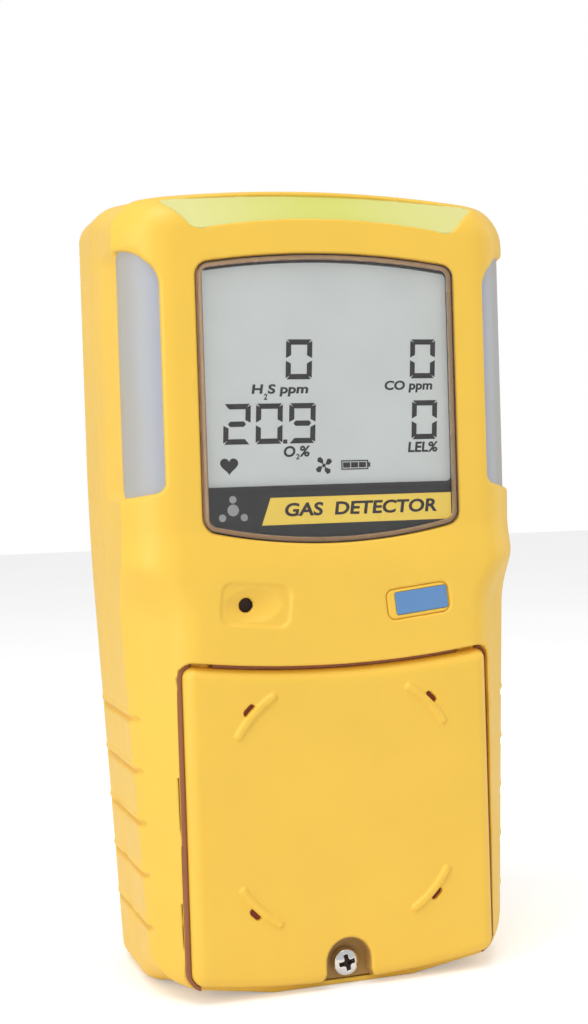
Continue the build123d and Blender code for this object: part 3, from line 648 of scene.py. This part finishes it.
def moulded(name, field, box, step, keep=1.0):
    """A piece whose surface is a distance field's, thinned out where it is flat."""
    low = [a - 1.5 * step for a in box[0]]
    high = [b + 1.5 * step for b in box[1]]
    points, quads = surface_net(field, low, high, step)
    piece = mesh_object(name, points, quads)
    if keep < 1:
        applied(piece, "DECIMATE", ratio=keep)
    count = len(piece.data.vertices)
    co = np.zeros(count * 3)
    piece.data.vertices.foreach_get("co", co)
    co = co.reshape(-1, 3) / MM
    slope = gradient(field, co, 0.12)
    slope /= np.maximum(np.linalg.norm(slope, axis=1), 1e-6)[:, None]
    piece.data.polygons.foreach_set("use_smooth", np.ones(len(piece.data.polygons), bool))
    piece.data.normals_split_custom_set_from_vertices(slope.tolist())
    return piece


# ------------------------------------------------------------------- materials
def srgb(r, g, b):
    """Linear colour from the usual 0 to 255 numbers."""
    def linear(v):
        v /= 255
        return v / 12.92 if v <= 0.04045 else ((v + 0.055) / 1.055) ** 2.4
    return (linear(r), linear(g), linear(b), 1.0)


class Nodes:
    """Small helper that adds and links shader nodes."""

    def __init__(self, name):
        self.material = bpy.data.materials.new(name)
        self.material.use_nodes = True
        self.tree = self.material.node_tree
        self.shader = self.tree.nodes["Principled BSDF"]
        self.place = self.add("ShaderNodeTexCoord").outputs["Object"]

    def add(self, kind, **settings):
        node = self.tree.nodes.new(kind)
        for key, value in settings.items():
            setattr(node, key, value)
        return node

    def link(self, output, socket):
        self.tree.links.new(output, socket)

    def noise(self, scale, detail=3.0, rough=0.55):
        node = self.add("ShaderNodeTexNoise")
        node.inputs["Scale"].default_value = scale
        node.inputs["Detail"].default_value = detail
        node.inputs["Roughness"].default_value = rough
        self.link(self.place, node.inputs["Vector"])
        return node.outputs["Fac"]

    def ramp(self, value, stops):
        node = self.add("ShaderNodeValToRGB")
        elements = node.color_ramp.elements
        while len(elements) < len(stops):
            elements.new(0.5)
        for element, (at, colour) in zip(elements, stops):
            element.position = at
            element.color = colour
        self.link(value, node.inputs["Fac"])
        return node.outputs["Color"]

    def spread(self, value, low, high):
        node = self.add("ShaderNodeMapRange")
        node.inputs["From Min"].default_value = 0.3
        node.inputs["From Max"].default_value = 0.7
        node.inputs["To Min"].default_value = low
        node.inputs["To Max"].default_value = high
        self.link(value, node.inputs["Value"])
        return node.outputs["Result"]

    def bump(self, height, strength, distance, under=None):
        node = self.add("ShaderNodeBump")
        node.inputs["Strength"].default_value = strength
        node.inputs["Distance"].default_value = distance
        self.link(height, node.inputs["Height"])
        if under is not None:
            self.link(under, node.inputs["Normal"])
        return node.outputs["Normal"]

    def set(self, **values):
        for key, value in values.items():
            self.shader.inputs[key.replace("_", " ")].default_value = value


def shade(colour, factor):
    return tuple(min(1.0, c * factor) for c in colour[:3]) + (1.0,)


def plastic(name, colour, rough=(0.35, 0.45), grain=0.05, tone=0.06, glow=0.0):
    """Moulded plastic: fine spark-eroded grain, slight tone and gloss variation."""
    n = Nodes(name)
    tone_noise = n.noise(60, 4)
    n.link(n.ramp(tone_noise, [(0.3, shade(colour, 1 - tone)), (0.7, shade(colour, 1 + tone / 2))]),
           n.shader.inputs["Base Color"])
    n.link(n.spread(n.noise(180, 3), *rough), n.shader.inputs["Roughness"])
    fine = n.bump(n.noise(2600, 2), grain, 0.00004)
    wave = n.bump(n.noise(120, 2), 0.08, 0.0002, fine)
    n.link(wave, n.shader.inputs["Normal"])
    n.set(IOR=1.5)
    # glow is painted light: emission on parts that are no lamps.
    if glow:
        n.set(Emission_Color=colour, Emission_Strength=glow)
    return n.material


def metal(name, colour, rough=(0.2, 0.35), scratch=0.1):
    """Plated or brushed metal with fine scratches."""
    n = Nodes(name)
    n.link(n.ramp(n.noise(300, 4), [(0.3, shade(colour, 0.9)), (0.7, colour)]),
           n.shader.inputs["Base Color"])
    n.link(n.spread(n.noise(700, 4), *rough), n.shader.inputs["Roughness"])
    n.link(n.bump(n.noise(1800, 3), scratch, 0.00003), n.shader.inputs["Normal"])
    n.set(Metallic=1.0)
    return n.material


def see_through(name, colour, rough, transmission, bump_scale=90, strength=0.05, glow=0.0):
    """Clear or tinted plastic with very slight moulding waves."""
    n = Nodes(name)
    n.link(n.ramp(n.noise(bump_scale, 2), [(0.35, shade(colour, 0.97)), (0.65, colour)]),
           n.shader.inputs["Base Color"])
    n.link(n.spread(n.noise(240, 2), rough, rough + 0.06), n.shader.inputs["Roughness"])
    n.link(n.bump(n.noise(bump_scale, 2), strength, 0.0003), n.shader.inputs["Normal"])
    n.set(Transmission_Weight=transmission, IOR=1.49)
    if glow:
        n.set(Emission_Color=colour, Emission_Strength=glow)
    return n.material


def across(material_name, stops, reach, rough, transmission, glow):
    """Tinted lens whose colour changes with distance from the middle of the case."""
    n = Nodes(material_name)
    split = n.add("ShaderNodeSeparateXYZ")
    n.link(n.place, split.inputs["Vector"])
    flat = n.add("ShaderNodeMath", operation="ABSOLUTE")
    n.link(split.outputs["X"], flat.inputs[0])
    share = n.add("ShaderNodeMapRange")
    share.inputs["From Min"].default_value = reach[0] * MM
    share.inputs["From Max"].default_value = reach[1] * MM
    n.link(flat.outputs["Value"], share.inputs["Value"])
    cloudy = n.add("ShaderNodeMath", operation="MULTIPLY_ADD")
    cloudy.inputs[1].default_value = 0.35
    n.link(n.noise(90, 2), cloudy.inputs[0])
    n.link(share.outputs["Result"], cloudy.inputs[2])
    shift = n.add("ShaderNodeMath", operation="SUBTRACT")
    shift.inputs[1].default_value = 0.17
    n.link(cloudy.outputs["Value"], shift.inputs[0])
    colour = n.ramp(shift.outputs["Value"], stops)
    n.link(colour, n.shader.inputs["Base Color"])
    # The lens colour also drives a faint glow: painted light, the lens being unlit.
    n.link(colour, n.shader.inputs["Emission Color"])
    n.link(n.spread(n.noise(240, 2), rough, rough + 0.06), n.shader.inputs["Roughness"])
    n.link(n.bump(n.noise(90, 2), 0.05, 0.0003), n.shader.inputs["Normal"])
    n.set(Transmission_Weight=transmission, IOR=1.49, Emission_Strength=glow)
    return n.material


YELLOW = srgb(246, 200, 74)
materials = {
    "yellow": plastic("yellow_plastic", YELLOW, (0.36, 0.46), 0.10, 0.03),
    "inlay": plastic("blue_inlay", srgb(98, 144, 196), (0.4, 0.5), 0.05, 0.04),
    "black": plastic("black_plastic", srgb(28, 27, 30), (0.3, 0.42), 0.05, 0.1),
    "frame": plastic("frame_plastic", srgb(52, 44, 42), (0.25, 0.38), 0.05, 0.1),
    # The LCD's glow is painted light, lifting the panel where its recess shades it.
    "lcd": plastic("lcd_surface", srgb(228, 232, 230), (0.5, 0.6), 0.03, 0.015, glow=0.24),
    "ink": plastic("lcd_ink", srgb(38, 32, 36), (0.5, 0.6), 0.02, 0.03),
    # The stripe is print; its glow is painted light that brightens it behind the window.
    "stripe": plastic("stripe_print", srgb(250, 214, 84), (0.25, 0.35), 0.02, 0.03, glow=0.38),
    # Brownish pocket colour is painted shade: the yellow arch recess as it looks in shadow.
    "pocket": plastic("pocket_painted_shade", srgb(176, 136, 72), (0.35, 0.5), 0.08, 0.12),
    # Dark brown painted shade, for the inside of the sound hole and the bottom of the screw's cross.
    "dark": plastic("hole_painted_shade", srgb(52, 30, 22), (0.6, 0.7), 0.05, 0.1),
    "screen": plastic("screen_mesh", srgb(136, 62, 46), (0.55, 0.7), 0.05, 0.1),
    # Brown seam strip colour is painted shade, the shadow inside the gap round the cover.
    "seam": plastic("seam_painted_shade", srgb(152, 96, 66), (0.5, 0.65), 0.05, 0.08),
    # Pale beige rim colour is a painted highlight: the window's lit, reflecting glass edge.
    "rim": plastic("rim_painted_highlight", srgb(222, 186, 150), (0.2, 0.3), 0.02, 0.05),
    "silver": plastic("silver_print", srgb(205, 205, 205), (0.3, 0.4), 0.02, 0.03),
    "grey": plastic("grey_plastic", srgb(88, 90, 94), (0.38, 0.5), 0.12, 0.06),
    "white": plastic("white_plastic", srgb(226, 226, 222), (0.35, 0.45), 0.05, 0.03),
    "rubber": plastic("seal_rubber", srgb(40, 40, 42), (0.6, 0.75), 0.15, 0.1),
    "board": plastic("solder_mask", srgb(30, 92, 58), (0.3, 0.42), 0.05, 0.08),
    "tube": plastic("silicone", srgb(222, 222, 214), (0.35, 0.5), 0.02, 0.03),
    "wrap": plastic("battery_wrap", srgb(44, 86, 150), (0.25, 0.4), 0.05, 0.05),
    "chrome": metal("bright_plating", (0.86, 0.86, 0.88, 1), (0.1, 0.22), 0.05),
    "steel": metal("brushed_steel", (0.62, 0.62, 0.63, 1), (0.25, 0.42), 0.2),
    "brass": metal("turned_brass", (0.82, 0.62, 0.30, 1), (0.2, 0.35), 0.1),
    "clear": see_through("clear_window", (0.97, 0.98, 0.98, 1), 0.02, 1.0),
    # Both lens materials glow faintly: painted light.
    "green": across("green_lens", [(0.0, srgb(218, 221, 116)), (1.0, srgb(228, 226, 150))],
                    (2, 24), 0.16, 0.15, 0.06),
    "frost": across("frosted_lens", [(0.0, srgb(178, 184, 198)), (0.45, srgb(180, 180, 180)),
                                     (0.75, srgb(182, 178, 168)), (1.0, srgb(190, 166, 122))],
                    (27.6, 34.6), 0.3, 0.1, 0.02),
}


def paint(node, key):
    """Give a CAD node's object a finished material."""
    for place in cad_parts[node].material_slots:
        place.material = materials[key]


def finish_piece(piece, body, slot, key, *nodes):
    """Material, body and the CAD nodes a piece stands for. The slot argument is not used."""
    piece.data.materials.clear()
    piece.data.materials.append(materials[key])
    if nodes:
        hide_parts(*nodes)
    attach(piece, body)
    return piece


def node_box(node):
    """A CAD node's corners in millimetres."""
    low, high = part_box(node)
    return [v / MM for v in low], [v / MM for v in high]


# ------------------------------------------------------------------- pieces
COARSE = 1.0


def cross_outline(arm, width):
    """Corners of the cross at the bottom of the screw's recess."""
    outline = []
    for quarter in range(4):
        turn = SCREW_TURN + quarter * math.pi / 2
        c, s = math.cos(turn), math.sin(turn)
        outline += [(u * c - v * s, SCREW_Z + u * s + v * c)
                    for u, v in ((arm, width), (width, width), (width, arm))]
    return outline


def build_casings():
    """The big yellow mouldings, the seam and inlet pieces, and the screw with its pocket."""
    jobs = (
        ("front_casing", front_shell_field, "front_shell", 0.42, 0.45, "case"),
        ("rear_casing", rear_shell_field, "rear_shell", 0.55, 0.35, "case"),
        ("cover_plate", cover_field, "sensor_cover", 0.33, 0.45, "cover"),
    )
    for name, field, node, step, keep, body in jobs:
        piece = moulded(name, field, node_box(node), step * COARSE, keep)
        finish_piece(piece, body, "case_yellow", "yellow", node)
    # The arch's lining carries painted shade, brown where the recess lies in shadow.
    pocket_box = ([-5.8, -19.6, 0.3], [5.8, -15.0, 10.2])
    pocket = moulded("screw_pocket", pocket_field, pocket_box, 0.2 * COARSE, 0.6)
    finish_piece(pocket, "cover", "case_yellow", "pocket")
    screens_box = ([-18.5, -19.3, 10.5], [18.5, -18.6, 50.5])
    screens = moulded("inlet_screens", screens_field, screens_box, 0.2 * COARSE)
    finish_piece(screens, "cover", None, "screen")
    # Strip in the cover's gap, painted brown as the gap's shadow.
    seam_box = ([-27.0, -18.3, 0.6], [27.0, -16.9, 55.2])
    seam = moulded("seam_shade_strip", seam_field, seam_box, 0.22 * COARSE, 0.5)
    finish_piece(seam, "case", "seal_rubber", "seam")
    # Dark plate at the bottom of the cross recess: painted shade where the recess is in shadow.
    floor = plates("cross_recess_shade", [cross_outline(1.25, 0.34)], SCREW_SEAT_Y - 0.75, 0.1)
    finish_piece(floor, "screw", "screw_chrome", "dark")
    screw = moulded("captive_screw", screw_field, node_box("cover_screw"), 0.1 * COARSE, 0.6)
    finish_piece(screw, "screw", "screw_chrome", "chrome", "cover_screw")


def build_key():
    """Key cap and its blue bar."""
    key = moulded("key_cap", key_field, node_box("push_button"), 0.16 * COARSE, 0.5)
    finish_piece(key, "key", "key_yellow", "yellow", "push_button")
    bar = moulded("key_bar", inlay_field, node_box("button_inlay"), 0.12 * COARSE, 0.5)
    finish_piece(bar, "key", "inlay_blue", "inlay", "button_inlay")


def build_lenses():
    """The three alarm lenses."""
    beacon = moulded("beacon_strip", beacon_field, node_box("beacon_lens"), 0.25 * COARSE, 0.5)
    finish_piece(beacon, "case", "lens_green", "green", "beacon_lens")
    for side, node in ((-1, "alarm_lens_left"), (1, "alarm_lens_right")):
        lens = moulded(f"corner_{node}", side_lens_field(side), node_box(node), 0.28 * COARSE, 0.5)
        finish_piece(lens, "case", "lens_grey", "frost", node)


def paint_nodes():
    """Finished materials for the CAD nodes that keep their shape."""
    keys = {
        "rubber": ("case_gasket", "sensor_gasket", "filter_seal"),
        "steel": ("case_screws", "clip_base", "clip_screws", "clip_pin", "clip_jaw", "clip_spring",
                  "pump_motor", "vibrator_motor", "combustible_sensor"),
        "brass": ("screw_insert", "pump_crank", "vibrator_weight", "charge_contacts"),
        "clear": ("display_window",),
        "frame": ("display_frame",),
        "black": ("nameplate", "tact_switch", "sounder", "pump_body", "data_window"),
        "stripe": ("nameplate_stripe",),
        # The sounder membrane is painted dark as shade, so the sound hole looks dark.
        "dark": ("sounder_membrane",),
        "lcd": ("lcd_panel",),
        "white": ("backlight", "alarm_lamps", "oxygen_sensor", "sulfide_sensor",
                  "monoxide_sensor", "filter_disc"),
        "board": ("main_board", "sensor_board"),
        "tube": ("inlet_tube", "sample_tube"),
        "wrap": ("battery_pack",),
        "grey": ("filter_housing",),
    }
    for key, nodes in keys.items():
        for node in nodes:
            paint(node, key)


# ------------------------------------------------------------- display details
LCD_Y = -17.0
INK_Y = LCD_Y - 0.05
INK_DEPTH = 0.04
NAMEPLATE_Y = -17.8
DIGIT_SLANT = 0.05
SEGMENTS = {"0": "abcdef", "2": "abged", "9": "abcdfg"}


def plates(name, outlines, y, depth, slant=0.0, low_z=0.0):
    """Thin flat pieces from lists of (x, z) corners, facing the front."""
    points, faces = [], []
    for outline in outlines:
        start, count = len(points), len(outline)
        for layer_y in (y, y + depth):
            points += [(x + slant * (z - low_z), layer_y, z) for x, z in outline]
        faces.append([start + i for i in range(count)])
        faces.append([start + count + i for i in reversed(range(count))])
        for i in range(count):
            j = (i + 1) % count
            faces.append([start + i, start + count + i, start + count + j, start + j])
    mesh = bpy.data.meshes.new(name)
    mesh.from_pydata((np.array(points) * MM).tolist(), [], faces)
    mesh.validate()
    piece = bpy.data.objects.new(name, mesh)
    bpy.context.scene.collection.objects.link(piece)
    return piece


def digit_outlines(figure, x, z, w, h, t):
    """The lit segments of one seven-segment figure, each with mitred ends and a small gap."""
    g = 0.06
    half = h / 2

    def level(zc, inward):
        low, high = (zc - t, zc) if inward < 0 else (zc, zc + t)
        outer, inner = (high, low) if inward < 0 else (low, high)
        return [(x + g + 0.1, outer), (x + w - g - 0.1, outer), (x + w - t - g, inner),
                (x + t + g, inner)]

    def upright(xc, inward, low, high):
        outer, inner = xc, xc + inward * t
        return [(outer, low + g + 0.15), (outer, high - g - 0.15), (inner, high - t * 0.7 - g),
                (inner, low + t * 0.7 + g)]

    middle = [(x + t * 0.8 + g, z + half), (x + t * 1.3, z + half + t / 2),
              (x + w - t * 1.3, z + half + t / 2), (x + w - t * 0.8 - g, z + half),
              (x + w - t * 1.3, z + half - t / 2), (x + t * 1.3, z + half - t / 2)]
    parts = {
        "a": level(z + h, -1), "d": level(z, 1), "g": middle,
        "f": upright(x, 1, z + half, z + h), "e": upright(x, 1, z, z + half),
        "b": upright(x + w, -1, z + half, z + h), "c": upright(x + w, -1, z, z + half),
    }
    return [parts[key] for key in SEGMENTS[figure]]


def circle_outline(x, z, r, count=20):
    """A regular polygon with many sides."""
    return [(x + r * math.cos(i * math.tau / count), z + r * math.sin(i * math.tau / count))
            for i in range(count)]


def heart_outline(x, z, size):
    """Heart symbol."""
    outline = []
    for i in range(32):
        t = i * math.tau / 32
        u = 16 * math.sin(t) ** 3
        v = 13 * math.cos(t) - 5 * math.cos(2 * t) - 2 * math.cos(3 * t) - math.cos(4 * t)
        outline.append((x + u * size / 33, z + (v + 2) * size / 33))
    return outline


def fan_outlines(x, z, r):
    """Running-pump symbol: four swept blades round a hub."""
    outlines = [circle_outline(x, z, r * 0.2, 12)]
    for blade in range(4):
        turn = blade * math.tau / 4 + 0.5
        shape = ((0.18, 0.0), (0.55, -0.22), (0.98, -0.12), (1.0, 0.22), (0.7, 0.42), (0.4, 0.18))
        c, s = math.cos(turn), math.sin(turn)
        outlines.append([(x + r * (u * c - v * s), z + r * (u * s + v * c)) for u, v in shape])
    return outlines


def rectangle(x0, z0, x1, z1):
    """Corners of an upright rectangle."""
    return [(x0, z0), (x1, z0), (x1, z1), (x0, z1)]


def battery_outlines(x0, z0, x1, z1):
    """Battery symbol: a case with three full cells and a terminal."""
    t = 0.2
    outlines = [rectangle(x0, z0, x1, z0 + t), rectangle(x0, z1 - t, x1, z1),
                rectangle(x0, z0 + t, x0 + t, z1 - t), rectangle(x1 - t, z0 + t, x1, z1 - t),
                rectangle(x1, z0 + 0.4, x1 + 0.35, z1 - 0.4)]
    cell = (x1 - x0 - 5 * t) / 3
    for i in range(3):
        left = x0 + 1.6 * t + i * (cell + 0.7 * t)
        outlines.append(rectangle(left, z0 + 1.7 * t, left + cell, z1 - 1.7 * t))
    return outlines


def lettering(name, text, x, z, height, y, key, width=None):
    """Flat printed letters whose lower left corner is at x, z."""
    curve = bpy.data.curves.new(name, "FONT")
    curve.body = text
    curve.size = 1.0
    curve.extrude = 0.01
    curve.shear = 0.12
    curve.offset = 0.03
    curve.resolution_u = 4
    source = bpy.data.objects.new(name, curve)
    bpy.context.scene.collection.objects.link(source)
    depsgraph = bpy.context.evaluated_depsgraph_get()
    mesh = bpy.data.meshes.new_from_object(source.evaluated_get(depsgraph))
    bpy.data.objects.remove(source)
    co = np.zeros(len(mesh.vertices) * 3)
    mesh.vertices.foreach_get("co", co)
    co = co.reshape(-1, 3)
    size = co.max(0) - co.min(0)
    co -= co.min(0)
    tall = height / size[1]
    wide = tall if width is None else width / size[0]
    placed = np.stack([x + co[:, 0] * wide, y + co[:, 2] / size[2] * 0.03, z + co[:, 1] * tall], 1)
    mesh.vertices.foreach_set("co", (placed * MM).ravel())
    mesh.update()
    piece = bpy.data.objects.new(name, mesh)
    bpy.context.scene.collection.objects.link(piece)
    return finish_piece(piece, "case", None, key)


def build_display():
    """Figures, labels and symbols on the panel, and the print on the nameplate."""
    figures = []
    for figure, x, z, w, h, t in (
            ("0", -7.1, 99.45, 4.45, 6.45, 0.86), ("0", 14.5, 99.45, 4.45, 6.45, 0.86),
            ("2", -17.9, 89.1, 4.5, 6.5, 0.86), ("0", -12.5, 89.1, 4.5, 6.5, 0.86),
            ("9", -6.9, 89.1, 4.5, 6.5, 0.86), ("0", 14.5, 89.35, 4.5, 6.45, 0.86)):
        figures += [[(px + DIGIT_SLANT * (pz - z), pz) for px, pz in outline]
                    for outline in digit_outlines(figure, x, z, w, h, t)]
    figures.append(rectangle(-7.85, 89.1, -7.15, 89.75))
    ink = plates("panel_figures", figures, INK_Y, INK_DEPTH)
    finish_piece(ink, "case", None, "ink")
    signs = [heart_outline(-17.0, 85.6, 3.1), *fan_outlines(-1.0, 85.4, 1.55),
             *battery_outlines(2.0, 84.6, 6.7, 86.15)]
    finish_piece(plates("panel_symbols", signs, INK_Y, INK_DEPTH), "case", None, "ink")
    for name, text, x, z, height, width in (
            ("label_sulfide", "H S ppm", -12.9, 96.7, 2.0, 9.6),
            ("label_sulfide_two", "2", -10.9, 96.2, 1.0, 0.6),
            ("label_monoxide", "CO ppm", 10.0, 97.1, 2.0, 8.5),
            ("label_oxygen", "O %", -7.8, 86.9, 1.8, 4.5),
            ("label_oxygen_two", "2", -5.75, 86.5, 0.9, 0.6),
            ("label_explosive", "LEL%", 13.8, 87.2, 1.75, 5.4)):
        lettering(name, text, x, z, height, INK_Y, "ink", width)
    lettering("nameplate_words", "GAS  DETECTOR", -8.2, 77.3, 2.2, NAMEPLATE_Y - 0.19, "ink", 26.5)
    glyph = [circle_outline(-16.8, 78.6, 0.95), circle_outline(-18.6, 77.4, 0.6),
             circle_outline(-15.0, 77.4, 0.6), circle_outline(-16.8, 80.3, 0.6)]
    finish_piece(plates("nameplate_glyph", glyph, NAMEPLATE_Y - 0.05, 0.04), "case", None, "silver")


def window_rim_field(x, y, z):
    """Bevelled edge of the window: it slopes back towards the casing."""
    outline = window_plan(x, z)
    ring = np.maximum(outline + 0.22, -(outline + 1.0))
    bevel = (outline + 0.22) * 0.75 - (y + 18.55) * 0.66
    return meet(np.maximum(ring, np.abs(y + 18.7) - 0.62), bevel, 0.1)


def build_window_rim():
    """Polished edge round the display window; its pale beige colour is a painted highlight."""
    box = ([-22.2, -19.4, 72.4], [22.2, -18.0, 120.0])
    rim = moulded("window_rim", window_rim_field, box, 0.2 * COARSE, 0.5)
    finish_piece(rim, "case", "frame_dark", "rim")


# ------------------------------------------------------------- camera and light
CAMERA_AZIMUTH = math.radians(-18.0)
CAMERA_ELEVATION = math.radians(1.471)
CAMERA_ROLL = math.radians(-1.793)
CAMERA_DISTANCE = 0.26897
CAMERA_TARGET_Z = 0.07476
CAMERA_LENS = 54.31
CAMERA_SHIFT = (-0.00457, 0.01647)
AMBIENT = 0.62
FLOOR_LIFT = 0.3
FLOOR_HALF = 2.0


def build_camera():
    """Camera a little to the left of the front, with a small roll."""
    az, el = CAMERA_AZIMUTH, CAMERA_ELEVATION
    back = Vector((math.sin(az) * math.cos(el), -math.cos(az) * math.cos(el), math.sin(el)))
    right = Vector((math.cos(az), math.sin(az), 0))
    up = back.cross(right)
    turned_right = right * math.cos(CAMERA_ROLL) + up * math.sin(CAMERA_ROLL)
    turned_up = up * math.cos(CAMERA_ROLL) - right * math.sin(CAMERA_ROLL)
    data = bpy.data.cameras.new("camera")
    data.lens = CAMERA_LENS
    data.sensor_width = 36
    data.shift_x, data.shift_y = CAMERA_SHIFT
    data.clip_start = 0.01
    camera = bpy.data.objects.new("camera", data)
    bpy.context.scene.collection.objects.link(camera)
    place = Matrix((turned_right, turned_up, back)).transposed().to_4x4()
    place.translation = Vector((0, 0, CAMERA_TARGET_Z)) + back * CAMERA_DISTANCE
    camera.matrix_world = place
    bpy.context.scene.camera = camera


def area_light(name, place, target, size, power, colour=(1, 1, 1)):
    """A soft square light aimed at a point."""
    data = bpy.data.lights.new(name, "AREA")
    data.shape = "RECTANGLE"
    data.size, data.size_y = size
    data.energy = power
    data.color = colour
    light = bpy.data.objects.new(name, data)
    bpy.context.scene.collection.objects.link(light)
    light.location = place
    aim = Vector(target) - Vector(place)
    light.rotation_euler = aim.to_track_quat("-Z", "Y").to_euler()
    return light


def build_stage():
    """Pale floor, pale surroundings and soft lights."""
    signs = np.array([[-1, -1, 0], [1, -1, 0], [1, 1, 0], [-1, 1, 0]])
    floor = mesh_object("floor", signs * FLOOR_HALF / MM, np.array([[0, 1, 2, 3]]))
    n = Nodes("pale_floor")
    n.link(n.ramp(n.noise(8, 2), [(0.3, (0.90, 0.90, 0.90, 1)), (0.7, (0.93, 0.93, 0.93, 1))]),
           n.shader.inputs["Base Color"])
    n.set(Roughness=0.7, Emission_Color=(1, 1, 1, 1))
    direct = n.add("ShaderNodeLightPath")
    lift = n.add("ShaderNodeMath", operation="MULTIPLY")
    lift.inputs[1].default_value = FLOOR_LIFT
    n.link(direct.outputs["Is Camera Ray"], lift.inputs[0])
    n.link(lift.outputs["Value"], n.shader.inputs["Emission Strength"])
    floor.data.materials.append(n.material)
    world = bpy.data.worlds.new("studio")
    world.use_nodes = True
    world.node_tree.nodes["Background"].inputs["Color"].default_value = (1, 1, 1, 1)
    tree = world.node_tree
    seen = tree.nodes.new("ShaderNodeLightPath")
    strength = tree.nodes.new("ShaderNodeMapRange")
    strength.inputs["To Min"].default_value = AMBIENT
    strength.inputs["To Max"].default_value = 1.0
    tree.links.new(seen.outputs["Is Camera Ray"], strength.inputs["Value"])
    tree.links.new(strength.outputs["Result"], tree.nodes["Background"].inputs["Strength"])
    bpy.context.scene.world = world
    middle = (0, 0, 0.07)
    area_light("left_soft", (-0.75, -0.35, 0.3), middle, (0.5, 0.7), 2.3)
    area_light("right_soft", (0.6, 0.0, 0.2), middle, (0.3, 0.6), 0.6)
    area_light("top_soft", (-0.15, -0.25, 0.7), middle, (0.5, 0.4), 2.0)
    bpy.context.scene.view_settings.view_transform = "Standard"


build_camera()
build_stage()
build_casings()
build_key()
build_lenses()
build_display()
build_window_rim()
paint_nodes()
